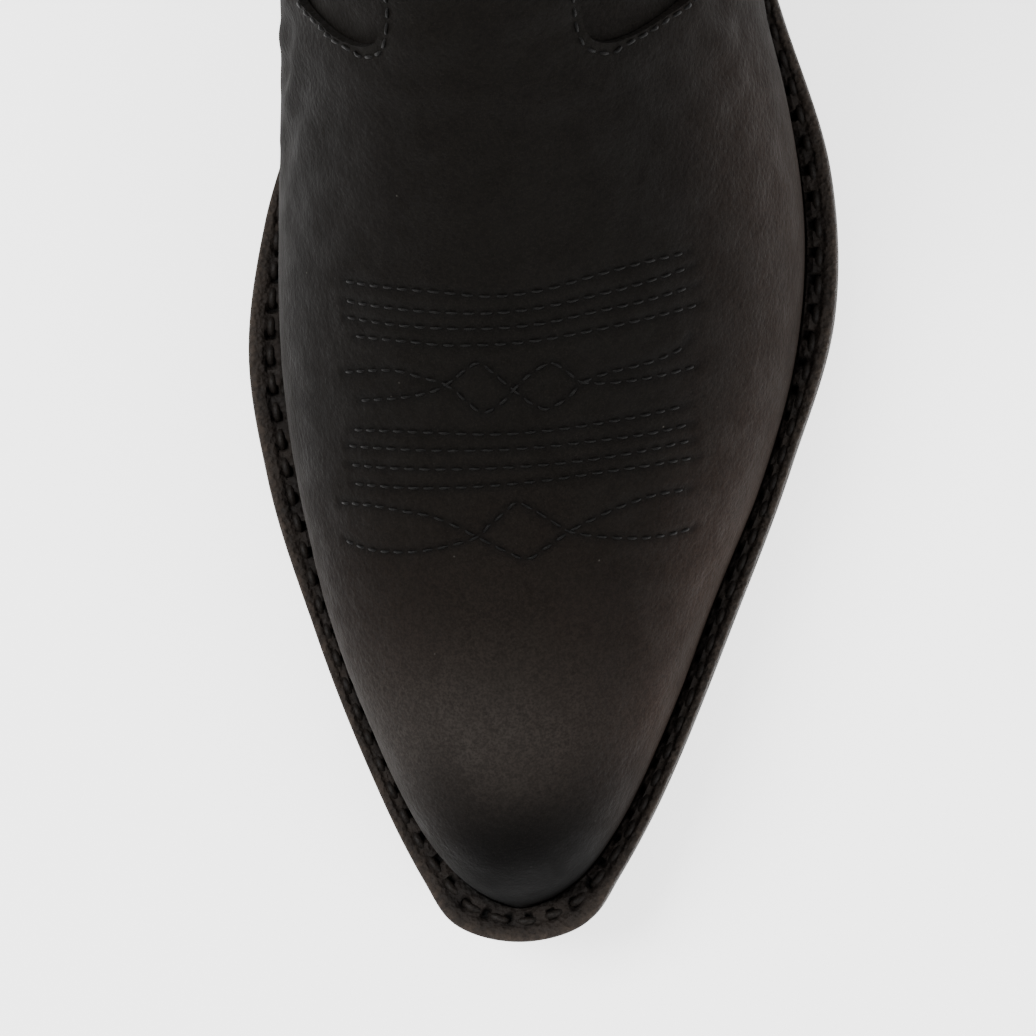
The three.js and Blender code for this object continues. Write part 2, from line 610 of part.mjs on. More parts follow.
function heelCoverPieces() {
  const heightAt = (row, column) => {
    const realRow = backRow(row, column);
    return onLast(realRow, backShare(realRow, column)).z;
  };
  const below = (edge, allowance) => (row, column) =>
    (row < 0 ? 1 : edge(column) - allowance - heightAt(row, column));
  return {
    counter_cover: sheet([-2, -1, ...BACK_ROWS], BACK_COLUMNS, backPoints(SKIN),
      { keep: below(coverTop, 0) }),
    heel_stiffener: sheet(BACK_ROWS, BACK_COLUMNS, backPoints(MIDDLE),
      { keep: below(stiffenerTop, JOINT) }),
    shaft_back: sheet(BACK_ROWS, BACK_COLUMNS, backPoints(MIDDLE),
      { keep: (row, column) => heightAt(row, column) - stiffenerTop(column) }),
  };
}

// ---------------------------------------------------------------- the bottom
const SOLE_STATIONS = spread(0, Math.PI, 44)
  .map((turn) => (STANDARD_LENGTH / 2) * (1 - Math.cos(turn)));

// A layer of the bottom between two heights over the outsole's bottom.
function soleLayer(low, high) {
  return sheet(SOLE_STATIONS, SIDES, (station, side) => {
    const width = side * (side < 0 ? soleMedial(station) : soleLateral(station));
    const ground = soleHeight(station);
    return [toSpace(width, station, ground + high), toSpace(width, station, ground + low)];
  });
}

const NAIL_SIDES = 8;

// A round upright pin, with its head at one end.
function nailShape(nail, bottom, top, headUp, clearance) {
  const head = nail.head + clearance;
  const shaft = nail.radius + clearance;
  const [from, to] = [bottom - clearance, top + clearance];
  const step = headUp ? to - nail.headHeight - 2 * clearance : from + nail.headHeight + 2 * clearance;
  const profile = headUp
    ? [[0, from], [shaft, from], [shaft, step], [head, step], [head, to], [0, to]]
    : [[0, from], [head, from], [head, step], [shaft, step], [shaft, to], [0, to]];
  const shape = new THREE.LatheGeometry(profile.map(([x, y]) => new THREE.Vector2(x, y)), NAIL_SIDES);
  return shape.rotateX(Math.PI / 2);
}

const NAIL_SUNK = 0.4; // below the insole's face
const HEEL_NAIL_PLACES = [[-10, 234], [15, 234], [-10, 252], [13, 252], [1.5, 262]];
const TOP_LIFT_NAIL_PLACES = [[-18, 246], [20, 246], [-11, 266], [12, 268], [2, 238]];

function heelNail([x, station], clearance) {
  const top = soleHeight(station) + INNER_EDGE + INSOLE - NAIL_SUNK;
  const shape = nailShape(HEEL_NAIL, HEEL_NAIL.tip, top, true, clearance);
  const place = toSpace(x, station, 0);
  return shape.translate(place.x, place.y, 0);
}

function topLiftNail([x, station], clearance) {
  const shape = nailShape(TOP_LIFT_NAIL, TOP_LIFT_NAIL.bottom, TOP_LIFT_NAIL.tip, false, clearance);
  const place = toSpace(x, station, 0);
  return shape.translate(place.x, place.y, 0);
}

// The bore for a top-lift nail is open to the ground below its head.
function topLiftBore([x, station]) {
  const belowGround = 1;
  const headHeight = TOP_LIFT_NAIL.headHeight + TOP_LIFT_NAIL.bottom + belowGround;
  const bore = nailShape({ ...TOP_LIFT_NAIL, headHeight }, -belowGround, TOP_LIFT_NAIL.tip, false, GAP);
  const place = toSpace(x, station, 0);
  return bore.translate(place.x, place.y, 0);
}

const heelBores = HEEL_NAIL_PLACES.map((place) => heelNail(place, GAP));
const topLiftBores = TOP_LIFT_NAIL_PLACES.map(topLiftBore);

const HEEL_HALF_WIDTH = 30;

// A point on the heel's side wall; place runs from 0 at the front to 1 at the back.
function heelWall(place, side, height) {
  const front = heelFrontAt(height);
  const station = front + (heelBackAt(height) - front) * place;
  const seatStation = HEEL_FRONT + (STANDARD_LENGTH - HEEL_FRONT) * place;
  const width = (side < 0 ? soleMedial : soleLateral)(seatStation);
  const lean = 1 - (HEEL_TAPER / HEEL_HALF_WIDTH) * (1 - height / HEEL_HEIGHT);
  return toSpace(side * width * lean, station, height);
}

function heelSlab(bottomAt, topAt) {
  const places = spread(0, Math.PI / 2, 11).map((turn) => Math.sin(turn));
  return sheet(places, SIDES, (place, side) =>
    [heelWall(place, side, topAt(place)), heelWall(place, side, bottomAt(place))]);
}

const stackTop = TOP_LIFT + LIFT_COUNT * (GAP + LIFT);

function heelPieces() {
  const pieces = { top_lift: without(heelSlab(() => 0, () => TOP_LIFT), topLiftBores) };
  for (let lift = 0; lift < LIFT_COUNT; lift += 1) {
    const low = TOP_LIFT + GAP + lift * (LIFT + GAP);
    const blank = heelSlab(() => low, () => low + LIFT);
    pieces[`heel_lift_${lift + 1}`] = without(blank, [...heelBores, ...topLiftBores]);
  }
  const seat = (place) => HEEL_HEIGHT - GAP + HEEL_SEAT_SLOPE * (STANDARD_LENGTH - 1 - HEEL_FRONT) * place;
  pieces.heel_wedge = without(heelSlab(() => stackTop + GAP, seat), heelBores);
  return pieces;
}

// Walks round the foot's lower edge: a place is a row up to the side seams, then runs on round the
// heel to its middle at HEEL_MIDDLE.
const HEEL_RUN = 60;
const HEEL_MIDDLE = seamFoot + HEEL_RUN;

// The row and share where the last's surface, grown by an offset, comes down to a height over the sole.
function wallShare(place, side, height, offset = 0) {
  if (place <= seamFoot) return [place, side * shareAtHeight(place, side, height, offset)];
  const column = side * ((HEEL_MIDDLE - place) / HEEL_RUN);
  const row = backRowAtHeight(column, height, offset);
  return [row, backShare(row, column, side)];
}

const onSole = (point, level) => point.setZ(soleHeight(onBoot(stationOf(point))) + level);

function wallPoint(place, side, height, offset) {
  const [row, share] = wallShare(place, side, height, offset);
  return onSole(offLast(row, share, offset), height);
}

const placeOfStation = (station) =>
  rootOf((place) => stationOf(wallPoint(place, 1, FEATHER, 0)) - station, 0, HEEL_MIDDLE - 2);

// A flat layer inside the wall, between two heights over the sole.
function bedLayer(from, to, low, high, pointAt) {
  const places = [from, ...BED_PLACES.filter((place) => place > from + 1 && place < to - 1), to];
  return sheet(places, SIDES, (place, side) => [high, low].map((level) => pointAt(place, side, level)),
    { nose: from === 0 });
}
const footPlaces = FRONT_ROWS.filter((row) => row <= seamFoot + 0.01);
const halfway = footPlaces.slice(1).map((row, i) => (row + footPlaces[i]) / 2)
  .filter((row) => row > FOOT_END);
const BED_PLACES = [...footPlaces, ...halfway, ...spread(seamFoot, HEEL_MIDDLE, BACK_STEPS).slice(1)]
  .sort((a, b) => a - b);

const WIDEST_EDGE = 30;

// A strip of the sole's edge, from just outside the upper's wall to the sole's outline.
function edgeStrip(walk, placeOf) {
  const onOutline = (start, outward, level) => {
    const reach = rootOf((distance) => {
      const point = start.clone().addScaledVector(outward, distance);
      const station = onBoot(stationOf(point));
      const width = point.x < 0 ? soleMedial(station) : soleLateral(station);
      return Math.abs(point.x) - width * WIDTH_GRADE + Math.abs(stationOf(point) - station) + 1e-4;
    }, 0, WIDEST_EDGE);
    return onSole(start.clone().addScaledVector(outward, reach), level);
  };
  return sheet(walk, [0, 1], (step, edge) => {
    const side = step < 0 ? -1 : 1;
    const place = placeOf(Math.abs(step));
    return [FEATHER + WELT, FEATHER].map((level) => {
      const start = wallPoint(place, side, level, WELT_GAP);
      const outward = lastNormal(...wallShare(place, side, level)).setZ(0).normalize();
      return edge === 0 ? start : onOutline(start, outward, level);
    });
  });
}

// The fillers lie inside the turned-under lasting margin.
const FILLER = { start: 21, split: 146 };
const FILLER_END = HEEL_MIDDLE - 12;
const FOOTBED_START = 9.5;
function insideMargin(place, side, level) {
  const [row, share] = wallShare(place, side, FEATHER);
  const outward = lastNormal(row, share).setZ(0).normalize();
  return onSole(onLast(row, share).addScaledVector(outward, -LASTING_MARGIN - JOINT), level);
}
const fillerLayer = (from, to) => bedLayer(from, to, FEATHER, FEATHER + UPPER_LEATHER, insideMargin);

function shank(clearance) {
  const half = SHANK.width / 2 + clearance;
  const rise = clearance > 0 ? UPPER_LEATHER : 0; // the shank's slot goes right through the filler
  const low = FEATHER + (UPPER_LEATHER - SHANK.thickness) / 2 - rise;
  const high = FEATHER + (UPPER_LEATHER + SHANK.thickness) / 2 + rise;
  const [from, to] = [SHANK.start - clearance, SHANK.start + SHANK.length + clearance];
  return sheet(spread(from, to, 14), SIDES, (station, side) =>
    [high, low].map((level) => toSpace(SHANK.middle + side * half, station, soleHeight(station) + level)));
}

function bottomPieces() {
  const insideUpper = (place, side, level) => wallPoint(place, side, level, INSIDE[1] - LOOSE);
  const insoleTop = INNER_EDGE + INSOLE;
  const heelFront = placeOfStation(HEEL_FRONT);
  const weltEnd = heelFront - JOINT / 2;
  const weltWalk = BED_PLACES.filter((place) => place > 0 && place < weltEnd - 1);
  const randWalk = [...BED_PLACES.filter((place) => place > heelFront + 1 && place < HEEL_MIDDLE)]
    .map((place) => HEEL_MIDDLE - place).reverse();
  const randEnd = HEEL_MIDDLE - heelFront - JOINT / 2;
  const split = placeOfStation(FILLER.split);
  const mirrored = (walk, end) => [-end, ...walk.map((step) => -step).reverse(), 0, ...walk, end];
  return {
    outsole: without(soleLayer(0, OUTSOLE), heelBores),
    welt: edgeStrip(mirrored(weltWalk, weltEnd), (step) => step),
    heel_rand: edgeStrip(mirrored(randWalk, randEnd), (step) => HEEL_MIDDLE - step),
    cork_filler: fillerLayer(FILLER.start, split - JOINT),
    waist_filler: without(fillerLayer(split, seamFoot), [shank(GAP)]),
    heel_seat_filler: without(fillerLayer(seamFoot + JOINT, FILLER_END), [shank(GAP), ...heelBores]),
    shank: shank(0),
    insole: without(bedLayer(0, HEEL_MIDDLE, INNER_EDGE, insoleTop, insideUpper), heelBores),
    footbed: bedLayer(FOOTBED_START, HEEL_MIDDLE, insoleTop + GAP, insoleTop + GAP + FOOTBED,
      (place, side, level) => wallPoint(place, side, level, INSIDE[1] - FOOTBED_LOOSE)),
  };
}

// ---------------------------------------------------------------- trimming
// A closed outline carried along a path: ringAt(i) gives its points at each place.
function sweep(count, ringAt) {
  const rings = Array.from({ length: count }, (unused, i) => ringAt(i));
  const size = rings[0].length;
  const triangles = [];
  for (let i = 0; i + 1 < count; i += 1) {
    for (let j = 0; j < size; j += 1) {
      const [a, b] = [i * size + j, i * size + ((j + 1) % size)];
      triangles.push([a, b, b + size], [a, b + size, a + size]);
    }
  }
  const flat = rings[0].outline.map(([x, y]) => new THREE.Vector2(x, y));
  for (const [a, b, c] of THREE.ShapeUtils.triangulateShape(flat, [])) {
    const far = (count - 1) * size;
    triangles.push([c, b, a], [far + a, far + b, far + c]);
  }
  return geometryFrom(rings.flat(), triangles);
}

function ringOf(outline, place) {
  const ring = outline.map(place);
  ring.outline = outline;
  return ring;
}

// Piping: a round bead on the seam with a flange between the two panels.
function pipingOutline(lift) {
  const half = PIPING_FLANGE / 2;
  const centre = lift + PIPING_RADIUS;
  const opening = Math.asin(half / PIPING_RADIUS);
  const bead = spread(-Math.PI / 2 + opening, (3 * Math.PI) / 2 - opening, 6)
    .map((turn) => [PIPING_RADIUS * Math.cos(turn), centre + PIPING_RADIUS * Math.sin(turn)]);
  return [...bead, [-half, MIDDLE[1]], [half, MIDDLE[1]]];
}

function sidePiping(side) {
  const seamPoint = (row) => onLast(row, side * seamShare(row, side, 0));
  const foot = FEATHER + WELT + PIPING_RADIUS;
  const low = rootOf((row) => heightOverSole(seamPoint(row)) - foot, FOOT_END, FAN_END);
  const high = TOP_ROW - STRAP.outerLeg - 2;
  const coverEdge = coverTop(1);
  // The bead drops off the cover's edge over the same rows whatever the boot's height.
  const dropEnd = FOOT_END + 66;
  const rows = [...spread(low, dropEnd, 12), ...spread(dropEnd, high, 10).slice(1)];
  return sweep(rows.length, (i) => {
    const row = rows[i];
    const share = side * seamShare(row, side, 0);
    const point = onLast(row, share);
    const normal = lastNormal(row, share);
    const along = seamPoint(row + 1).sub(seamPoint(row - 1)).normalize();
    const across = along.clone().cross(normal).normalize().multiplyScalar(side);
    const drop = THREE.MathUtils.smoothstep(point.z, coverEdge + 4, coverEdge + 16);
    const outline = pipingOutline(GAP - drop * (UPPER_LEATHER + GAP));
    return ringOf(outline, ([x, y]) =>
      point.clone().addScaledVector(across, x).addScaledVector(normal, y));
  });
}

// Binding folded over the top edge of panel and lining.
function topBinding(shareAt, columns) {
  const outside = MIDDLE[0] + GAP;
  const inside = INSIDE[1] - GAP;
  const [over, depth] = [GAP + BINDING, -BINDING_DEPTH];
  const outline = [[outside + BINDING, depth], [outside + BINDING, over], [inside - BINDING, over],
    [inside - BINDING, depth], [inside, depth], [inside, GAP], [outside, GAP], [outside, depth]];
  return sweep(columns.length, (i) => {
    const row = topRow(columns[i]);
    return ringOf(outline, ([offset, rise]) => {
      const placeRow = row + Math.min(rise, 0);
      const point = offLast(placeRow, shareAt(placeRow, columns[i]), offset);
      return point.setZ(point.z + Math.max(rise, 0));
    });
  });
}

// A pull strap: a band looped over the top edge at a side seam and sewn down inside and outside.
function strapPath() {
  const outer = GAP + STRAP.thickness / 2;
  const inner = INSIDE[1] - 2 * GAP - BINDING - STRAP.thickness / 2;
  const middle = (outer + inner) / 2;
  const half = (outer - inner) / 2;
  const bow = STRAP.loop - STRAP.thickness / 2 - STRAP.straight;
  const arch = spread(0, Math.PI, 10)
    .map((turn) => [middle + half * Math.cos(turn), STRAP.straight + bow * Math.sin(turn)]);
  const outerLeg = spread(-STRAP.outerLeg, 0, 4).map((rise) => [outer, rise]);
  const innerLeg = spread(0, -STRAP.innerLeg, 3).map((rise) => [inner, rise]);
  return [...outerLeg, ...arch, ...innerLeg];
}

function pullStrap(side) {
  const path = strapPath();
  const place = (across, offset, rise) => {
    const row = TOP_ROW + Math.min(rise, 0);
    const share = side * (seamShare(row, side, 0) + across / arcLength(row, side));
    const point = offLast(row, share, offset);
    return point.setZ(point.z + Math.max(rise, 0));
  };
  const numbers = path.map((unused, i) => i);
  const widths = spread(-STRAP.width / 2, STRAP.width / 2, 3);
  return sheet(numbers, widths, (i, across) => {
    const before = path[Math.max(i - 1, 0)];
    const after = path[Math.min(i + 1, path.length - 1)];
    const length = Math.hypot(after[0] - before[0], after[1] - before[1]);
    const outward = [(after[1] - before[1]) / length, -(after[0] - before[0]) / length];
    const half = STRAP.thickness / 2;
    return [half, -half].map((lift) =>
      place(across, path[i][0] + lift * outward[0], path[i][1] + lift * outward[1]));
  });
}

// A small leather teardrop on the front panel inside each scallop.
const TEARDROP = { length: 20, width: 9, row: SCALLOP_ROW + 20, arc: TONGUE_HALF + 20,
  thickness: 0.9, lean: 0.4, tip: 0.3 };

function teardrop(side) {
  const rows = spread(-TEARDROP.length / 2, TEARDROP.length / 2, 8);
  const halfWidth = (place) => {
    const share = place / TEARDROP.length + 0.5;
    return TEARDROP.tip + (TEARDROP.width / 2) * Math.sin(Math.PI * share ** 0.75);
  };
  return sheet(rows, spread(-1, 1, 4), (place, column) => {
    const row = TEARDROP.row + place;
    const arc = TEARDROP.arc + place * TEARDROP.lean + column * halfWidth(place);
    const share = (side * arc + tongueMiddle(row)) / arcLength(row, side);
    const low = MIDDLE[0] + GAP;
    return [offLast(row, share, low + TEARDROP.thickness), offLast(row, share, low)];
  });
}

function trimPieces() {
  const pieces = {
    top_binding_front: topBinding(frontShare, FRONT_COLUMNS),
    top_binding_back: topBinding(backShare, BACK_COLUMNS),
  };
  for (const side of SIDES) {
    pieces[`side_piping_${SIDE_NAMES[side]}`] = sidePiping(side);
    pieces[`pull_strap_${SIDE_NAMES[side]}`] = pullStrap(side);
    pieces[`teardrop_${SIDE_NAMES[side]}`] = teardrop(side);
  }
  return pieces;
}

function nailPieces() {
  const pieces = {};
  HEEL_NAIL_PLACES.forEach((place, i) => {
    pieces[`heel_nail_${i + 1}`] = heelNail(place, 0);
  });
  TOP_LIFT_NAIL_PLACES.forEach((place, i) => {
    pieces[`top_lift_nail_${i + 1}`] = topLiftNail(place, 0);
  });
  return pieces;
}

// ---------------------------------------------------------------- materials and the boot
const matte = (color, roughness, metalness = 0) =>
  new THREE.MeshStandardMaterial({ color, roughness, metalness });
const black = matte(0x1d1b19, 0.8);
const lining = matte(0xa98a63, 0.85);
const fillerTan = matte(0x9a7650, 0.9);
const soleBrown = matte(0x3a2c20, 0.7);
const rubber = matte(0x161514, 0.75);
const steel = matte(0x9a9a98, 0.35, 1);
const MATERIALS = [
  [/nail|shank/, steel],
  [/^top_lift$/, rubber],
  [/filler/, fillerTan],
  [/vamp_lining|shaft_lining|footbed|insole|interlining|puff|stiffener/, lining],
  [/outsole|heel_|welt/, soleBrown],
  [/./, black],
];

const boot = new THREE.Group();
const pieces = { ...bottomPieces(), ...heelPieces(), ...nailPieces(), ...vampPieces(), ...shaftPieces(),
  ...heelCoverPieces(), ...trimPieces() };
for (const [name, geometry] of Object.entries(pieces)) {
  const mesh = new THREE.Mesh(geometry, MATERIALS.find(([pattern]) => pattern.test(name))[1]);
  mesh.name = name;
  boot.add(mesh);
}

export default boot;
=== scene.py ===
import json
import math

import bpy
import numpy as np
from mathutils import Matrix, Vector


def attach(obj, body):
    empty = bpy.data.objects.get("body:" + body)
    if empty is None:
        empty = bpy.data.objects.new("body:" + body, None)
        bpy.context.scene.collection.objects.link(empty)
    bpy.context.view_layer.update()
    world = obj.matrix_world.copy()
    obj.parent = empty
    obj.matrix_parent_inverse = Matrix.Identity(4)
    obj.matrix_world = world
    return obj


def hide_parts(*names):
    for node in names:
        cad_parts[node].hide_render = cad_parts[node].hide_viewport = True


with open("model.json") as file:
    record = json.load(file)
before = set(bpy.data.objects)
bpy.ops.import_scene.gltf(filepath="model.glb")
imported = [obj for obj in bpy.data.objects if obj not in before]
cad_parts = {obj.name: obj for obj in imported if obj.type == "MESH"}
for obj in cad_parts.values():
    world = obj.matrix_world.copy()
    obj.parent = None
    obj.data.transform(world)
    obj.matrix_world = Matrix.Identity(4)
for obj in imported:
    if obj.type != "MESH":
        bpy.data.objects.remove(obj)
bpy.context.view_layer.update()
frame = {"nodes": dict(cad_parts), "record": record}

MM = 0.001
rng = np.random.default_rng(7)

# ------------------------------------------------------------ dimensions, as the solids have them
HEEL_HEIGHT, SEAT_SLOPE, TOE_SPRING, BOOT_HEIGHT, TOP_DIP = 37.0, 0.13, 11.0, 330.0, 38.0
OUTSOLE, WELT, LEATHER, INTERLINING, LINING, INSOLE = 4.2, 3.2, 1.4, 1.4, 1.0, 2.6
GAP, LINING_GAP = 0.3, 0.5
HEEL_UNDERCUT, HEEL_TAPER, HEEL_FRONT = 9.0, 3.5, 226.0
SOLE_LENGTH = 286.5
NOSE, NOSE_SPREAD = 5.7, 12.0
BALL_FRONT, BALL_BACK = 97, 121  # the sole lies flat on the ground between these stations
PIVOT_STATION, PIVOT_RISE = 148.0, 115.0
FOOT_END = math.sqrt((PIVOT_STATION - NOSE + NOSE_SPREAD) ** 2 - NOSE_SPREAD ** 2)
FAN_ROWS = 100
FAN_END = FOOT_END + FAN_ROWS
ANKLE = HEEL_HEIGHT + PIVOT_RISE
SHAFT = BOOT_HEIGHT - ANKLE
BURIED = 3.5
FEATHER = OUTSOLE + GAP
ORIGIN = 252.0
MIDDLE = (-LEATHER - GAP, -LEATHER - GAP - INTERLINING)
INSIDE = (MIDDLE[1] - LINING_GAP, MIDDLE[1] - LINING_GAP - LINING)
TONGUE_HALF, TONGUE_TOP, TONGUE_ROUND = 17.0, FAN_END + 26, 9.0
TONGUE_SHIFT = 5.0
SCALLOP_ROW, ARM_FOOT_ROW = FOOT_END - 9, FOOT_END + 48
LOWER_ROW = FOOT_END - 26
STRAIGHT_ROW, TOP_ROW = FAN_END + 34, FAN_END + SHAFT
SEAM_GAP = 1.6


# ------------------------------------------------------------ small sums used throughout
def unit(vectors):
    return vectors / np.maximum(np.linalg.norm(vectors, axis=-1, keepdims=True), 1e-9)


def run(points):
    """Length along a line, up to each of its points."""
    return np.concatenate([[0], np.cumsum(np.linalg.norm(np.diff(points, axis=0), axis=1))])


def bell(x, width):
    return np.exp(-(x / width) ** 2)


def smoothstep(x, low, high):
    t = np.clip((np.asarray(x, float) - low) / (high - low), 0, 1)
    return t * t * (3 - 2 * t)


def blend(table, i, j):
    """Values between the rows and columns of a table."""
    a, b = i.astype(int), j.astype(int)
    u, v = (i - a)[..., None], (j - b)[..., None]
    return (table[a, b] * (1 - u) * (1 - v) + table[a + 1, b] * u * (1 - v)
            + table[a, b + 1] * (1 - u) * v + table[a + 1, b + 1] * u * v)


def by_side(side, row, rows, medial, lateral):
    row = np.asarray(row, float)
    return np.where(np.asarray(side) < 0, np.interp(row, rows, medial), np.interp(row, rows, lateral))


def waves(points, scale, seed, count=9):
    """Soft noise in space, about -1 to 1, for folds that are in the mesh itself."""
    source = np.random.default_rng(seed)
    total = np.zeros(points.shape[:-1])
    for _ in range(count):
        direction = source.normal(size=3)
        direction /= np.linalg.norm(direction)
        rate = 2 * math.pi / scale * source.uniform(0.7, 1.5)
        total += np.sin(points @ direction * rate + source.uniform(0, 2 * math.pi))
    return total / math.sqrt(count)


def curve(points):
    """A smooth curve through (place, value) points."""
    x = np.array([p[0] for p in points], float)
    y = np.array([p[1] for p in points], float)
    step = np.diff(x)
    slope = np.diff(y) / step
    tangent = np.empty(len(x))
    tangent[0], tangent[-1] = slope[0], slope[-1]
    tangent[1:-1] = (slope[:-1] * step[1:] + slope[1:] * step[:-1]) / (step[1:] + step[:-1])

    def at(place):
        place = np.asarray(place, float)
        i = np.clip(np.searchsorted(x, place, side="right") - 1, 0, len(x) - 2)
        span = step[i]
        t = np.clip((place - x[i]) / span, 0, 1)
        ease = t * t * (3 - 2 * t)
        lead = t * (1 - t) ** 2 * span * tangent[i]
        trail = t * t * (t - 1) * span * tangent[i + 1]
        return y[i] + (y[i + 1] - y[i]) * ease + lead + trail
    return at


def round_place(station):
    return np.arccos(np.clip(1 - 2 * np.asarray(station, float) / SOLE_LENGTH, -1, 1))


def round_curve(points):
    inner = curve([(float(round_place(s)), w) for s, w in points])
    return lambda station: inner(round_place(station))


sole_medial = round_curve([(0, 0), (3, 10.8), (10, 15.8), (23, 22.6), (50, 33.6), (76, 41.7), (97, 44.6),
                           (118, 41.5), (150, 30.5), (175, 26), (205, 24.5), (240, 28), (265, 27),
                           (279, 18.5), (286.5, 0)])
sole_lateral = round_curve([(0, 0), (3, 10.8), (10, 15.8), (23, 22.9), (50, 34.3), (76, 44.4), (101, 52),
                            (125, 51.6), (150, 44.5), (180, 36), (210, 33), (240, 33.6), (265, 31.5),
                            (279, 22), (286.5, 0)])


def sole_width(side, station):
    return np.where(np.asarray(side) < 0, sole_medial(station), sole_lateral(station))


def sole_height(station):
    s = np.clip(np.asarray(station, float), 0, SOLE_LENGTH)
    front = TOE_SPRING * (np.maximum(BALL_FRONT - s, 0) / BALL_FRONT) ** 1.6
    span = HEEL_FRONT - BALL_BACK
    t = np.clip((s - BALL_BACK) / span, 0, 1)
    waist = HEEL_HEIGHT * t * t * (3 - 2 * t) + span * 0.15 * t * t * (t - 1)
    seat = HEEL_HEIGHT + SEAT_SLOPE * (s - HEEL_FRONT)
    return np.where(s < BALL_FRONT, front,
                    np.where(s < BALL_BACK, 0.0, np.where(s > HEEL_FRONT, seat, waist)))


ridge_rise = curve([(5.7, 9.2), (8, 16.2), (12, 23), (20, 30), (30, 35.2), (45, 40.3), (60, 45.6),
                    (75, 51.5), (90, 58.3), (105, 66.5), (120, 76), (135, 85.4), (148, 92.7)])
fan_throat = curve([(0, 54), (0.25, 39), (0.5, 30.5), (0.75, 27.5), (1, 27)])
shaft_throat = curve([(0, 27), (0.16, 28), (0.33, 26.5), (0.55, 23), (1, 15)])
shaft_back = curve([(0, 133), (0.16, 132), (0.33, 133.5), (0.55, 137), (1, 142)])
heel_back = curve([(3, 278.6), (10, 283), (22, 286), (57, 287), (88, 284.3), (115, 281)])
F = FOOT_END
last_medial = curve([(0, 0), (6, 5), (13, 10.2), (20, 14.6), (37, 22.6), (54, 29.2), (74, 34.3), (97, 37.6),
                     (126, 37.2), (F, 34.2), (F + 30, 30.5), (F + 50, 30), (F + 66, 32.5), (FAN_END, 37),
                     (FAN_END + 80, 43.5), (TOP_ROW, 49)])
last_lateral = curve([(0, 0), (6, 5.4), (13, 11), (20, 15.2), (39, 24), (60, 32), (80, 40.2), (100, 45.8),
                      (118, 47.6), (140, 45.6), (F, 42.8), (F + 30, 36), (F + 50, 34.2), (F + 66, 36),
                      (FAN_END, 40), (FAN_END + 80, 47), (TOP_ROW, 52)])
widest_level = curve([(0, 0.5), (30, 0.36), (90, 0.23), (126, 0.2), (F, 0.24), (F + 30, 0.3), (F + 50, 0.4),
                      (FAN_END, 0.5)])
square_above = curve([(0, 2.1), (60, 2.1), (110, 1.9), (F, 1.75), (F + 50, 1.85), (FAN_END, 2.1)])
square_below = {side: curve([(0, 3), (60, 3.6), (110, ball), (F, foot), (F + 30, instep), (F + 50, heel),
                             (F + 64, 3), (FAN_END, 2.2)])
                for side, ball, foot, instep, heel in ((-1, 3.3, 2.2, 2, 3.2), (1, 3.7, 3.2, 2.7, 3.4))}


# ------------------------------------------------------------ the last's surface, as one fine table
def root_of(rising, low, high, steps=34):
    low, high = np.array(low, float), np.array(high, float)
    for _ in range(steps):
        middle = (low + high) / 2
        up = rising(middle) > 0
        high = np.where(up, middle, high)
        low = np.where(up, low, middle)
    return (low + high) / 2


def section_ends(rows):
    """(station, height) of each row's ridge and underside: along the foot, round the ankle, up the shaft."""
    ends = np.zeros((len(rows), 2, 2))
    foot = rows < FOOT_END
    station = NOSE + np.hypot(rows[foot], NOSE_SPREAD) - NOSE_SPREAD
    ground = sole_height(station)
    ends[foot, 0] = np.stack([station, ground + ridge_rise(station)], 1)
    ends[foot, 1] = np.stack([station, ground - BURIED], 1)
    fan = (rows >= FOOT_END) & (rows < FAN_END)
    share = (rows[fan] - FOOT_END) / FAN_ROWS
    turn = share * math.pi / 2
    at = lambda reach: (PIVOT_STATION + reach * np.sin(turn), ANKLE - reach * np.cos(turn))
    ends[fan, 0] = np.stack(at(fan_throat(share)), 1)
    zero = np.zeros(len(turn))

    def below(reach):
        s, h = at(reach)
        return sole_height(np.minimum(s, SOLE_LENGTH)) - BURIED - h

    def past(reach):
        s, h = at(reach)
        return s - heel_back(h - HEEL_HEIGHT)
    sole = root_of(below, zero, zero + 400)
    back = root_of(past, zero, zero + 400)
    ends[fan, 1] = np.stack(at((sole ** -14.0 + back ** -14.0) ** (-1 / 14)), 1)
    shaft = rows >= FAN_END
    height = ANKLE + rows[shaft] - FAN_END
    share = (rows[shaft] - FAN_END) / SHAFT
    ends[shaft, 0] = np.stack([PIVOT_STATION + shaft_throat(share), height], 1)
    ends[shaft, 1] = np.stack([PIVOT_STATION + shaft_back(share), height], 1)
    return ends


ROW_STEP, HALF_SHARES = 0.5, 300
TABLE_ROWS = np.arange(0, TOP_ROW + 3, ROW_STEP)
TABLE_SHARES = np.linspace(-1, 1, 2 * HALF_SHARES + 1)


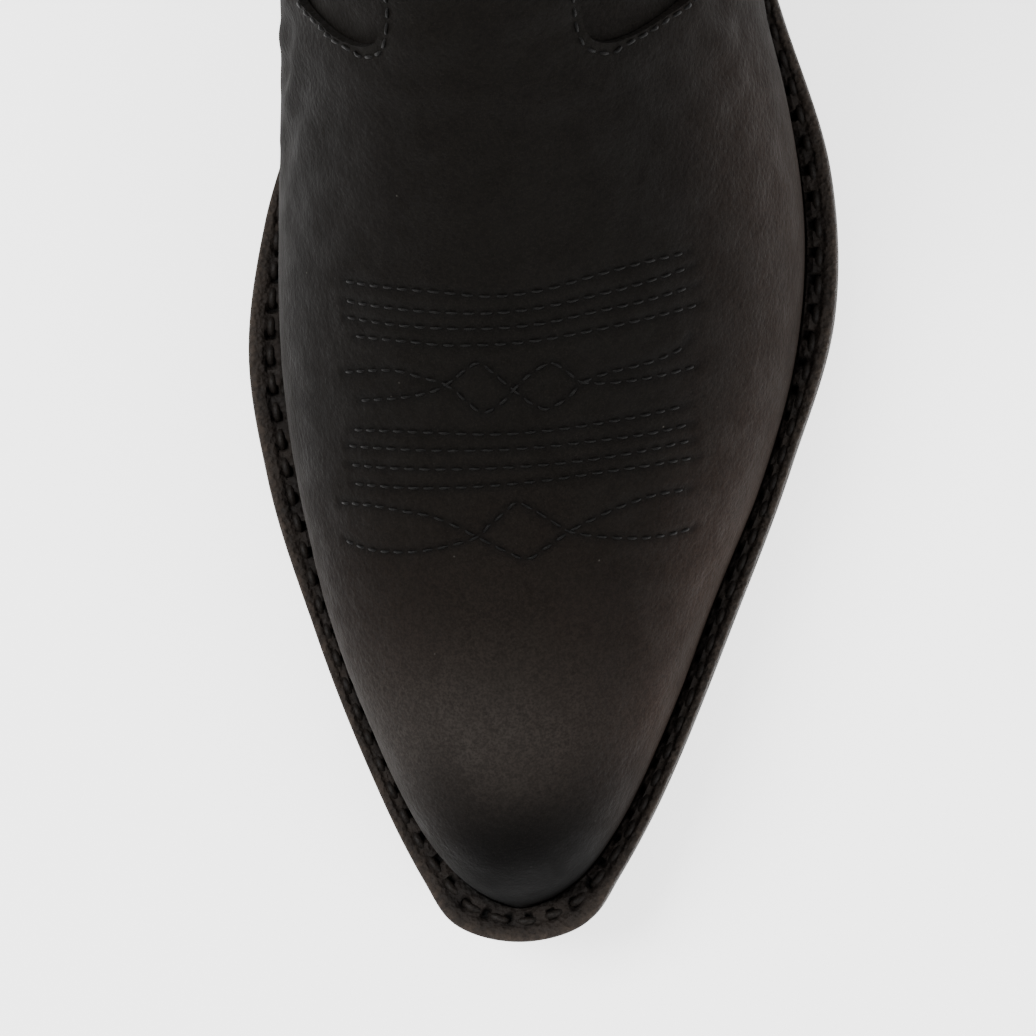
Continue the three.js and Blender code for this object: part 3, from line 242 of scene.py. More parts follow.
def build_table():
    rows = TABLE_ROWS
    ends = section_ends(rows)
    angle = np.linspace(0, math.pi, 241)
    table = np.zeros((len(rows), len(TABLE_SHARES), 3))
    lengths = {}
    for side, half in ((-1, last_medial(rows)), (1, last_lateral(rows))):
        above = angle < math.pi / 2
        power = np.where(above[None], square_above(rows)[:, None], square_below[side](rows)[:, None])
        across, along = np.abs(np.sin(angle))[None], np.cos(angle)[None]
        radius = (across ** power + np.abs(along) ** power) ** (-1 / power)
        level = widest_level(rows)[:, None]
        share = level + np.where(above[None], 1 - level, level) * radius * along
        x = side * half[:, None] * radius * across
        station = ends[:, 1, :1] + (ends[:, 0, :1] - ends[:, 1, :1]) * share
        height = ends[:, 1, 1:] + (ends[:, 0, 1:] - ends[:, 1, 1:]) * share
        points = np.stack([x, station - ORIGIN, height], 2)
        arc = np.concatenate([np.zeros((len(rows), 1)),
                              np.cumsum(np.linalg.norm(np.diff(points, axis=1), axis=2), 1)], 1)
        lengths[side] = arc[:, -1]
        wanted = np.linspace(0, 1, HALF_SHARES + 1)
        for i in range(len(rows)):
            for axis in range(3):
                line = np.interp(wanted * arc[i, -1], arc[i], points[i, :, axis])
                if side > 0:
                    table[i, HALF_SHARES:, axis] = line
                else:
                    table[i, :HALF_SHARES + 1, axis] = line[::-1]
    return table, lengths


POINTS, ARC = build_table()


def build_normals():
    along = np.gradient(POINTS, axis=0)
    wrapped = np.concatenate([POINTS[:, -4:-1], POINTS, POINTS[:, 1:4]], 1)
    around = wrapped[:, 6:] - wrapped[:, :-6]
    normal = unit(np.cross(around, along))
    normal[0] = unit((normal[1] + normal[1, ::-1]) * np.array([0, 1, 1]))
    return normal


NORMALS = build_normals()


def sample(table, row, share):
    row, share = np.broadcast_arrays(np.asarray(row, float), np.asarray(share, float))
    share = np.where(share > 1, share - 2, np.where(share < -1, share + 2, share))
    return blend(table, np.clip(row / ROW_STEP, 0, len(TABLE_ROWS) - 1.001),
                 np.clip((share + 1) * HALF_SHARES, 0, 2 * HALF_SHARES - 0.001))


def on_last(row, share):
    return sample(POINTS, row, share)


def normal_at(row, share):
    return unit(sample(NORMALS, row, share))


def on_and_out(row, share):
    return on_last(row, share), normal_at(row, share)


def off_last(row, share, offset):
    return on_last(row, share) + normal_at(row, share) * np.asarray(offset, float)[..., None]


def arc_length(row, side):
    return by_side(side, row, TABLE_ROWS, ARC[-1], ARC[1])


def over_sole(point):
    return point[..., 2] - sole_height(point[..., 1] + ORIGIN)


seam_station = curve([(40, 216), (152, 226), (330, 227)])
EDGE_ROWS = np.arange(0, TOP_ROW + 3, 1.0)


def edge_tables():
    """Shares of the half girth, for each side and row, at which the last meets a height or the side seam."""
    height, seam = {}, {}
    levels = {"inner": FEATHER + LEATHER + GAP, "feather": FEATHER, "welt": FEATHER + WELT}
    for side in (-1, 1):
        for key, level in levels.items():
            height[side, key] = root_of(lambda t: level - over_sole(on_last(EDGE_ROWS, side * t)),
                                        EDGE_ROWS * 0, EDGE_ROWS * 0 + 1)

        def behind(t):
            p = on_last(EDGE_ROWS, side * t)
            return p[..., 1] + ORIGIN - seam_station(p[..., 2])
        seam[side] = root_of(behind, EDGE_ROWS * 0, EDGE_ROWS * 0 + 1)
    return height, seam


HEIGHT_SHARE, SEAM_SHARE = edge_tables()


def share_at_height(row, side, key="inner"):
    return by_side(side, row, EDGE_ROWS, HEIGHT_SHARE[-1, key], HEIGHT_SHARE[1, key])


def seam_share(row, side, shift=0.0):
    return by_side(side, row, EDGE_ROWS, SEAM_SHARE[-1], SEAM_SHARE[1]) + shift / arc_length(row, side)


def side_of(column):
    return np.where(np.asarray(column) < 0, -1, 1)


def top_row(column):
    c = np.clip(np.abs(column), 0, 1)
    return TOP_ROW - TOP_DIP * 0.5 * (1 + np.cos(math.pi * c ** 0.8))


def front_edge(row, side, key="inner"):
    return np.minimum(share_at_height(row, side, key), seam_share(row, side, -SEAM_GAP / 2))


SEAM_FOOT = float(root_of(lambda r: (lambda p: p[..., 1] + ORIGIN - seam_station(p[..., 2]) + SEAM_GAP / 2)(
    on_last(r, share_at_height(r, 1, "feather"))), FOOT_END, FOOT_END + 60))


def front_row(row, column):
    """Rows of the front, spread so that the last one follows the dipped top edge."""
    low = row <= STRAIGHT_ROW
    return np.where(low, row, STRAIGHT_ROW + (row - STRAIGHT_ROW) / (TOP_ROW - STRAIGHT_ROW)
                    * (top_row(column) - STRAIGHT_ROW))


def back_share(row, column, side=None):
    """Share at a column of the back, where 0 is the middle of the heel and 1 is the side seam."""
    side = side_of(column) if side is None else side
    return side * (1 - np.abs(column) * (1 - seam_share(row, side, SEAM_GAP / 2)))


def back_low(column, level):
    """The row at which a column of the back is level millimetres over the sole."""
    column = np.asarray(column, float)
    zero = np.zeros_like(column)
    return root_of(lambda r: over_sole(on_last(r, back_share(r, column))) - level,
                   zero + FOOT_END + 12, zero + FAN_END)


# ------------------------------------------------------------ mesh helpers
def merged(parts):
    by_size = {}
    for p in parts:
        by_size.setdefault(p.shape[1], []).append(p)
    return [np.concatenate(v) for v in by_size.values()]


def mesh_object(name, points, polygons, material, slot, nodes=(), marks=None, sharp=42):
    """points in millimetres; polygons is a list of index arrays, one row per polygon."""
    polygons = merged([np.asarray(p, np.int64) for p in polygons if len(p)])
    loops = np.concatenate([p.ravel() for p in polygons])
    sizes = np.concatenate([np.full(len(p), p.shape[1]) for p in polygons])
    mesh = bpy.data.meshes.new(name)
    mesh.vertices.add(len(points))
    mesh.vertices.foreach_set("co", (np.asarray(points) * MM).astype(np.float32).ravel())
    mesh.loops.add(len(loops))
    mesh.loops.foreach_set("vertex_index", loops.astype(np.int32))
    mesh.polygons.add(len(sizes))
    mesh.polygons.foreach_set("loop_start", np.concatenate([[0], np.cumsum(sizes)[:-1]]).astype(np.int32))
    mesh.update(calc_edges=True)
    mesh.validate()
    for key, values in (marks or {}).items():
        mark = mesh.attributes.new(key, "FLOAT", "POINT")
        mark.data.foreach_set("value", np.asarray(values, np.float32).ravel())
    mesh.shade_smooth()
    mesh.set_sharp_from_angle(angle=math.radians(sharp))
    mesh.materials.append(material)
    piece = bpy.data.objects.new(name, mesh)
    bpy.context.scene.collection.objects.link(piece)
    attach(piece, "root")
    if nodes:
        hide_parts(*nodes)


def clip_cells(keep, partial, split):
    """Polygons for the cells that the kept region's edge runs through."""
    polygons = {3: [], 4: [], 5: []}
    columns = keep.shape[1]
    for i, j in partial:
        ring = [(i, j), (i, j + 1), (i + 1, j + 1), (i + 1, j)]
        out = []
        for here, there in zip(ring, ring[1:] + ring[:1]):
            if keep[here] > 0:
                out.append(here[0] * columns + here[1])
            if (keep[here] > 0) != (keep[there] > 0):
                out.append(split(here, there))
        if len(out) in polygons:
            polygons[len(out)].append(out)
        elif len(out) == 6:
            polygons[3] += [out[:3], out[3:]]
    return [np.array(p) for p in polygons.values() if p]


def sheet(outer, inner, keep=None, nose=False, marks=None):
    """A closed solid between two lattices of points, cut where keep falls below zero."""
    rows, columns = outer.shape[:2]
    count = rows * columns
    keep = np.ones((rows, columns)) if keep is None else keep
    marks = marks or {}
    grid = np.arange(count).reshape(rows, columns)
    if nose:
        grid[0] = np.minimum(grid[0], grid[0, ::-1])
    kept = keep > 0
    sums = kept[:-1, :-1].astype(int) + kept[1:, :-1] + kept[:-1, 1:] + kept[1:, 1:]
    extra_outer, extra_inner, extra_marks, known = [], [], {k: [] for k in marks}, {}

    def split(here, there):
        if keep[here] <= 0:
            here, there = there, here
        if (here, there) not in known:
            t = min(max(keep[here] / (keep[here] - keep[there]), 0.03), 0.97)
            known[here, there] = count + len(extra_outer)
            extra_outer.append(outer[here] * (1 - t) + outer[there] * t)
            extra_inner.append(inner[here] * (1 - t) + inner[there] * t)
            for k in marks:
                extra_marks[k].append(marks[k][here] * (1 - t) + marks[k][there] * t)
        return known[here, there]
    i, j = np.nonzero(sums == 4)
    polygons = [np.stack([grid[i, j], grid[i, j + 1], grid[i + 1, j + 1], grid[i + 1, j]], 1)]
    partial = list(zip(*np.nonzero((sums > 0) & (sums < 4))))
    polygons += clip_cells(keep, partial, split)
    total = count + len(extra_outer)
    points_out = np.concatenate([outer.reshape(-1, 3)] + ([np.array(extra_outer)] if extra_outer else []))
    points_in = np.concatenate([inner.reshape(-1, 3)] + ([np.array(extra_inner)] if extra_inner else []))
    edges = np.concatenate([np.stack([p, np.roll(p, -1, 1)], 2).reshape(-1, 2) for p in polygons])
    edges = edges[edges[:, 0] != edges[:, 1]]
    code, reverse = edges[:, 0] * total + edges[:, 1], edges[:, 1] * total + edges[:, 0]
    rim = edges[~np.isin(code, reverse)]
    walls = np.stack([rim[:, 1], rim[:, 0], rim[:, 0] + total, rim[:, 1] + total], 1)
    everything = polygons + [p[:, ::-1] + total for p in polygons] + [walls]
    points = np.concatenate([points_out, points_in])
    all_marks = {}
    for k in marks:
        line = np.concatenate([marks[k].ravel(), np.array(extra_marks[k], float)])
        all_marks[k] = np.concatenate([line, line])
    return compact(points, everything, all_marks)


def compact(points, polygons, marks):
    """Turns squares with two equal corners into triangles, and drops points that nothing uses."""
    triangles, clean = [], []
    for p in polygons:
        if p.shape[1] == 4:
            for a, b, corners in ((0, 1, slice(1, 4)), (2, 3, slice(0, 3))):
                flat = p[:, a] == p[:, b]
                triangles.append(p[flat][:, corners])
                p = p[~flat]
        clean.append(p)
    polygons = [p for p in clean + triangles if len(p)]
    used = np.unique(np.concatenate([p.ravel() for p in polygons]))
    renumber = np.zeros(len(points), np.int64)
    renumber[used] = np.arange(len(used))
    return points[used], [renumber[p] for p in polygons], {k: v[used] for k, v in marks.items()}


def sweep(rings):
    """rings: (count, size, 3), a closed outline carried along a path, and closed at both ends."""
    count, size = rings.shape[:2]
    grid = np.arange(count * size).reshape(count, size)
    side = np.roll(grid, -1, 1)
    quads = np.stack([grid[:-1], side[:-1], side[1:], grid[1:]], 2).reshape(-1, 4)
    start = count * size
    points = np.concatenate([rings.reshape(-1, 3), [rings[0].mean(0), rings[-1].mean(0)]])
    return points, [quads, np.stack([np.full(size, start), side[0], grid[0]], 1),
                    np.stack([np.full(size, start + 1), grid[-1], side[-1]], 1)]


def stitch_mesh(groups, pitch=2.7, length=2.05, radius=0.28, lift=0.1):
    """Thread stitches along paths. groups: list of (points, normals) along each line, evenly walked."""
    turns = np.linspace(0, 2 * math.pi, 7)[:-1]
    spans = np.array([-1.0, -0.82, -0.4, 0.0, 0.4, 0.82, 1.0])
    fat = np.array([0.35, 0.75, 1.0, 1.05, 1.0, 0.75, 0.35])
    dip = np.array([-0.5, -0.12, 0.08, 0.12, 0.08, -0.12, -0.5])
    all_points, all_quads, start = [], [], 0
    for points, normals in groups:
        arc = run(points)
        for middle in np.arange(pitch / 2, arc[-1] - pitch * 0.3, pitch):
            half = length / 2 * (1 + rng.uniform(-0.06, 0.06))
            at = middle + spans * half
            line = np.stack([np.interp(at, arc, points[:, k]) for k in range(3)], 1)
            n = unit(np.array([np.interp(middle, arc, normals[:, k]) for k in range(3)]))
            across = unit(np.cross(unit(line[-1] - line[0]), n))
            sway = rng.uniform(-0.05, 0.05)
            centre = line + n * (lift + dip * radius * 2)[:, None] + across * (sway * spans)[:, None]
            ring = (np.cos(turns)[None, :, None] * across + np.sin(turns)[None, :, None] * n)
            body = centre[:, None] + ring * (radius * fat)[:, None, None]
            tube_points, tube = sweep(body[:, ::-1])
            all_points.append(tube_points)
            all_quads.append([p + start for p in tube])
            start += len(tube_points)
    return np.concatenate(all_points), [q for part in all_quads for q in part]


def sew(name, groups, material, **options):
    points, polygons = stitch_mesh(groups, **options)
    mesh_object(name, points, polygons, material, "trim_leather", sharp=180)


def smooth_path(points, spacing=0.4):
    """A Catmull-Rom line through control points, walked evenly."""
    p = np.asarray(points, float)
    p = np.concatenate([[2 * p[0] - p[1]], p, [2 * p[-1] - p[-2]]])
    t = np.linspace(0, 1, 24, endpoint=False)[:, None]
    line = []
    for a, b, c, d in zip(p, p[1:], p[2:], p[3:]):
        line.append(0.5 * (2 * b + (c - a) * t + (2 * a - 5 * b + 4 * c - d) * t ** 2
                           + (3 * b - a - 3 * c + d) * t ** 3))
    line = np.concatenate(line + [p[-2:-1]])
    arc = run(line)
    walk = np.linspace(0, arc[-1], max(int(arc[-1] / spacing), 3))
    return np.stack([np.interp(walk, arc, line[:, k]) for k in range(line.shape[1])], 1)


def contour(values, level):
    """Lines in lattice units where values crosses level, each an array of (i, j)."""
    above = values > level
    segments = []
    cells = np.argwhere(~((above[:-1, :-1] == above[1:, :-1]) & (above[:-1, :-1] == above[:-1, 1:])
                          & (above[:-1, :-1] == above[1:, 1:])))
    for i, j in cells:
        ring = [(i, j), (i, j + 1), (i + 1, j + 1), (i + 1, j)]
        cuts = []
        for a, b in zip(ring, ring[1:] + ring[:1]):
            if above[a] != above[b]:
                a, b = min(a, b), max(a, b)
                t = (level - values[a]) / (values[b] - values[a])
                cuts.append(((a, b), (a[0] + (b[0] - a[0]) * t, a[1] + (b[1] - a[1]) * t)))
        if len(cuts) == 2:
            segments.append(cuts)
    links, places = {}, {}
    for (ka, pa), (kb, pb) in segments:
        links.setdefault(ka, []).append(kb)
        links.setdefault(kb, []).append(ka)
        places[ka], places[kb] = pa, pb
    lines, seen = [], set()
    for start in sorted(links, key=lambda k: (len(links[k]), k)):
        if start in seen:
            continue
        line, here = [], start
        while here is not None and here not in seen:
            seen.add(here)
            line.append(places[here])
            here = next((k for k in links[here] if k not in seen), None)
        if len(line) > 6:
            lines.append(np.array(line))
    return lines


def on_lattice(table, line):
    """Values of a table along a line given in lattice units."""
    return blend(table, np.clip(line[:, 0], 0, table.shape[0] - 1.001),
                 np.clip(line[:, 1], 0, table.shape[1] - 1.001))


def walked(points, normals, spacing=0.4):
    """The same line and its normals, with points evenly apart."""
    arc = run(points)
    walk = np.linspace(0, arc[-1], max(int(arc[-1] / spacing), 3))
    again = lambda table: np.stack([np.interp(walk, arc, table[:, k]) for k in range(3)], 1)
    return again(points), again(normals)


# ------------------------------------------------------------ materials
class Shader:
    """A node material: sockets are set by name, from numbers or from other nodes' outputs."""

    def __init__(self, name):
        self.material = bpy.data.materials.new(name)
        self.material.use_nodes = True
        self.tree = self.material.node_tree
        self.tree.nodes.clear()
        self.place = self.node("ShaderNodeTexCoord").outputs["Object"]

    def node(self, kind, settings=None, **sockets):
        made = self.tree.nodes.new(kind)
        for key, value in (settings or {}).items():
            setattr(made, key, value)
        for key, value in sockets.items():
            numbered = key[0] == "i" and key[1:].isdigit()
            socket = made.inputs[int(key[1:]) if numbered else key.replace("_", " ")]
            if isinstance(value, bpy.types.NodeSocket):
                self.tree.links.new(value, socket)
            else:
                socket.default_value = value
        return made

    def noise(self, scale, detail=3.0, roughness=0.55, place=None):
        return self.node("ShaderNodeTexNoise", Vector=place or self.place, Scale=scale, Detail=detail,
                         Roughness=roughness).outputs["Fac"]

    def cells(self, scale, feature="F1", place=None, randomness=1.0):
        return self.node("ShaderNodeTexVoronoi", {"feature": feature}, Vector=place or self.place,
                         Scale=scale, Randomness=randomness).outputs["Distance"]

    def ramp(self, value, low, high, bottom=0.0, top=1.0):
        return self.node("ShaderNodeMapRange", {"interpolation_type": "SMOOTHSTEP"}, Value=value,
                         i1=low, i2=high, i3=bottom, i4=top).outputs["Result"]

    def math(self, operation, a, b, clamp=False):
        settings = {"operation": operation, "use_clamp": clamp}
        return self.node("ShaderNodeMath", settings, i0=a, i1=b).outputs[0]

    def times(self, a, b, clamp=False):
        return self.math("MULTIPLY", a, b, clamp)

    def mix(self, amount, a, b):
        a = (*a, 1.0) if isinstance(a, tuple) and len(a) == 3 else a
        b = (*b, 1.0) if isinstance(b, tuple) and len(b) == 3 else b
        return self.node("ShaderNodeMix", {"data_type": "RGBA"}, i0=amount, i6=a, i7=b).outputs[2]

    def mark(self, name):
        return self.node("ShaderNodeAttribute", {"attribute_name": name}).outputs["Fac"]

    def stretched(self, x, y, z):
        return self.node("ShaderNodeMapping", Vector=self.place, Scale=(x, y, z)).outputs["Vector"]

    def bump(self, height, strength, distance, normal=None):
        made = self.node("ShaderNodeBump", Height=height, Strength=strength, Distance=distance)
        if normal is not None:
            self.tree.links.new(normal, made.inputs["Normal"])
        return made.outputs["Normal"]

    def finish(self, color, roughness, normal=None, **fixed):
        surface = self.node("ShaderNodeBsdfPrincipled", Base_Color=color, Roughness=roughness, **fixed)
        if normal is not None:
            self.tree.links.new(normal, surface.inputs["Normal"])
        self.node("ShaderNodeOutputMaterial", Surface=surface.outputs[0])
        return self.material


def nubuck():
    """Brushed black leather: a short nap over a fine grain, browner where it is rubbed, with a painted
    highlight across the toe and along the flanks, and a darker, smoother toe tip with painted shade in the
    stitch grooves.
    """
    m = Shader("nubuck")
    pebble = m.cells(980, "SMOOTH_F1")
    pores = m.cells(2100)
    nap = m.noise(6500, 2)
    cloud = m.noise(42, 4, 0.6)
    patch = m.noise(150, 3, 0.6)
    rub = m.times(m.mark("rub"), m.ramp(cloud, 0.25, 0.75, 0.75, 1.15), True)
    base = m.mix(rub, (0.0045, 0.0039, 0.0033), (0.0200, 0.0128, 0.0096))
    # painted highlight: lighter colour where light catches the band across the toe and the flanks' edges
    painted_highlight = m.times(m.mark("painted_highlight"), m.ramp(patch, 0.3, 0.7, 0.7, 1.0))
    base = m.mix(painted_highlight, base, (0.0290, 0.0252, 0.0224))
    # darker, smoother toe tip, plus painted shade in the toe stitch grooves and the teardrops' hollows
    base = m.mix(m.mark("polish_and_shade"), base, (0.0011, 0.0011, 0.0012))
    crack = m.times(m.ramp(pebble, 0.1, 0.6, 0.3, 0.0), m.ramp(patch, 0.3, 0.7, 0.4, 0.9))
    base = m.mix(crack, base, (0.0012, 0.0010, 0.0009))
    base = m.mix(m.ramp(pores, 0.0, 0.24, 0.5, 0.0), base, (0.0012, 0.0010, 0.0009))
    base = m.mix(m.ramp(m.noise(2400, 3, 0.6), 0.4, 0.6, 0.35, 0.0), base, (0.0014, 0.0012, 0.0010))
    base = m.mix(m.ramp(nap, 0.5, 0.8, 0.0, 0.3), base, (0.024, 0.020, 0.0175))
    dust = m.times(m.ramp(m.cells(420), 0.0, 0.1, 1.0, 0.0), m.ramp(m.noise(260, 1), 0.62, 0.7))
    base = m.mix(m.times(dust, 0.16), base, (0.3, 0.28, 0.25))
    rough = m.math("SUBTRACT", m.ramp(patch, 0.3, 0.7, 0.74, 0.88), m.times(m.mark("polish_and_shade"), 0.06))
    grain = m.times(pebble, m.ramp(cloud, 0.3, 0.7, 0.6, 1.1))
    grain = m.times(grain, m.ramp(m.mark("polish_and_shade"), 0.0, 1.0, 1.0, 0.25))
    normal = m.bump(grain, 0.6, 0.0003)
    normal = m.bump(pores, 0.4, 0.00014, normal)
    normal = m.bump(nap, 0.4, 0.00008, normal)
    return m.finish(base, rough, normal, Specular_IOR_Level=0.04)


def plain_leather(name, dark, light, grain=900, rough=(0.45, 0.62), depth=0.0003, specular=0.45):
    m = Shader(name)
    pebble = m.cells(grain, "SMOOTH_F1")
    patch = m.noise(90, 4, 0.6)
    fine = m.noise(grain * 3, 2)
    color = m.mix(m.ramp(patch, 0.3, 0.72), dark, light)
    color = m.mix(m.ramp(pebble, 0.0, 0.4, 0.45, 0.0), color, tuple(v * 0.45 for v in dark))
    normal = m.bump(fine, 0.35, depth * 0.4, m.bump(pebble, 0.7, depth))
    return m.finish(color, m.ramp(patch, 0.3, 0.7, *rough), normal, Specular_IOR_Level=specular)


def edge_leather(name, dark, light, rough=(0.5, 0.75)):
    """Cut and dyed sole leather: fine layers along the edge, scuffed pits, patches of lighter tone."""
    m = Shader(name)
    layers = m.noise(520, 3, 0.6, m.stretched(0.25, 0.25, 5.0))
    pits = m.cells(1100)
    patch = m.noise(160, 4, 0.65)
    color = m.mix(m.ramp(patch, 0.32, 0.68), dark, light)
    color = m.mix(m.ramp(layers, 0.4, 0.62, 0.0, 0.55), color, tuple(v * 0.5 for v in dark))
    color = m.mix(m.ramp(pits, 0.0, 0.18, 0.6, 0.0), color, tuple(v * 0.3 for v in dark))
    normal = m.bump(layers, 0.5, 0.0003)
    normal = m.bump(pits, 0.6, 0.0004, normal)
    normal = m.bump(m.noise(2600, 2), 0.5, 0.0002, normal)
    return m.finish(color, m.ramp(patch, 0.3, 0.7, *rough), normal, Specular_IOR_Level=0.16)


def welt_leather():
    m = Shader("welt_leather")
    pits = m.cells(1250)
    lumps = m.noise(900, 4, 0.65)
    patch = m.noise(130, 3, 0.6)
    recess_shade = m.mark("recess_shade")
    worn = m.mark("worn")
    color = m.mix(m.ramp(patch, 0.3, 0.7), (0.0062, 0.0050, 0.0044), (0.0135, 0.0104, 0.0086))
    color = m.mix(m.times(worn, m.ramp(lumps, 0.4, 0.65, 0.3, 1.0)), color, (0.034, 0.0265, 0.0215))
    color = m.mix(m.ramp(pits, 0.0, 0.2, 0.7, 0.0), color, (0.0022, 0.0019, 0.0016))
    # painted shade in the stitch holes and in the groove beside the upper
    color = m.mix(recess_shade, color, (0.0010, 0.0009, 0.0008))
    normal = m.bump(lumps, 0.8, 0.0005)
    normal = m.bump(pits, 0.7, 0.0004, normal)
    return m.finish(color, m.ramp(lumps, 0.3, 0.7, 0.55, 0.8), normal, Specular_IOR_Level=0.1)


def thread_material(name, dark, light):
    m = Shader(name)
    twist = m.noise(3400, 2)
    color = m.mix(m.ramp(twist, 0.35, 0.65), dark, light)
    return m.finish(color, 0.5, m.bump(twist, 0.6, 0.00012), Specular_IOR_Level=0.08)


def rubber_material():
    m = Shader("heel_rubber")
    grit = m.noise(1500, 4, 0.7)
    scuff = m.noise(240, 3, 0.6)
    color = m.mix(m.ramp(scuff, 0.35, 0.7), (0.0055, 0.0055, 0.0055), (0.013, 0.0125, 0.012))
    return m.finish(color, m.ramp(scuff, 0.3, 0.7, 0.6, 0.85), m.bump(grit, 0.5, 0.0003),
                    Specular_IOR_Level=0.15)


def steel_material():
    m = Shader("steel")
    lines = m.noise(900, 3, 0.6, m.stretched(1, 1, 8))
    stain = m.noise(380, 4, 0.65)
    color = m.mix(m.ramp(stain, 0.45, 0.7), (0.46, 0.45, 0.43), (0.24, 0.19, 0.14))
    return m.finish(color, m.ramp(stain, 0.3, 0.7, 0.3, 0.55), m.bump(lines, 0.3, 0.0001), Metallic=1.0)


def fibre_material(name, dark, light, scale):
    m = Shader(name)
    chips = m.cells(scale)
    flecks = m.noise(scale * 2.2, 4, 0.7)
    color = m.mix(m.ramp(flecks, 0.35, 0.65), dark, light)
    color = m.mix(m.ramp(chips, 0.0, 0.25, 0.5, 0.0), color, tuple(v * 0.5 for v in dark))
    return m.finish(color, 0.85, m.bump(flecks, 0.6, 0.0004, m.bump(chips, 0.5, 0.0005)))


def floor_material():
    m = Shader("floor")
    color = m.mix(m.noise(3, 2), (0.93, 0.93, 0.93), (0.94, 0.94, 0.94))
    return m.finish(color, 0.6, Specular_IOR_Level=0.2, Emission_Color=(1, 1, 1, 1), Emission_Strength=1.9)


NUBUCK = nubuck()
TRIM = plain_leather("trim_leather", (0.0045, 0.0040, 0.0036), (0.0095, 0.0078, 0.0068), 1300, specular=0.1)
LINER = plain_leather("lining_leather", (0.27, 0.185, 0.115), (0.40, 0.29, 0.19), 620, (0.62, 0.8),
                      0.00022, 0.3)
SOLE_EDGE = edge_leather("sole_leather", (0.0085, 0.0062, 0.0050), (0.021, 0.0150, 0.0118))
STACK = edge_leather("stacked_leather", (0.0090, 0.0062, 0.0048), (0.024, 0.0160, 0.0115))
WELT_MATERIAL = welt_leather()
THREAD = thread_material("upper_thread", (0.0014, 0.0013, 0.0012), (0.0048, 0.0044, 0.0040))
WELT_THREAD = thread_material("welt_thread", (0.0048, 0.0040, 0.0035), (0.0105, 0.0084, 0.0071))
RUBBER, STEEL = rubber_material(), steel_material()
BOARD = fibre_material("stiffening_board", (0.24, 0.17, 0.11), (0.36, 0.27, 0.19), 700)
CORK = fibre_material("filler_cork", (0.26, 0.16, 0.09), (0.45, 0.31, 0.19), 420)
BY_SLOT = {"upper_nubuck": NUBUCK, "trim_leather": TRIM, "lining_leather": LINER,
           "sole_leather": SOLE_EDGE, "welt_leather": WELT_MATERIAL, "heel_rubber": RUBBER,
           "stiffening_board": BOARD, "filler_cork": CORK, "steel": STEEL}
for part in frame["record"]["subparts"]:
    solid = frame["nodes"][part["node"]]
    solid.data.materials.clear()
    solid.data.materials.append(BY_SLOT[part["material_slot"]])


# ------------------------------------------------------------ the upper
def tongue_middle(row):
    return TONGUE_SHIFT * (1 - smoothstep(row, SCALLOP_ROW + 10, ARM_FOOT_ROW))


def front_arc(row, side):
    return front_edge(row, side) * arc_length(row, side)


def arm_curve(side):
    return curve([(SCALLOP_ROW, TONGUE_HALF + 7), (SCALLOP_ROW + 4, TONGUE_HALF + 17),
                  (SCALLOP_ROW + 10, TONGUE_HALF + 31), (SCALLOP_ROW + 27, TONGUE_HALF + 48),
                  (ARM_FOOT_ROW, float(front_arc(ARM_FOOT_ROW, side)))])


ARM_CURVES = {side: arm_curve(side) for side in (-1, 1)}


def soft_least(*values):
    softness = 1.6
    return -softness * np.log(sum(np.exp(-v / softness) for v in values))


def vamp_keep(row, arc):
    """How far inside the vamp's edge a place is; below zero is cut away, by a scallop or the tongue's end."""
    place = arc - tongue_middle(row)
    arm = np.where(place < 0, ARM_CURVES[-1](row), ARM_CURVES[1](row))
    place = np.abs(place)
    scallop = soft_least(np.clip(place - TONGUE_HALF, -60, 60), np.clip(arm - place, -60, 60),
                         row - SCALLOP_ROW)
    above = np.where(row > ARM_FOOT_ROW, place - TONGUE_HALF, -np.inf)
    tongue_end = row - TONGUE_TOP + (np.minimum(place, TONGUE_HALF) / TONGUE_ROUND) ** 2
    return -np.maximum(np.maximum(scallop, above), tongue_end)


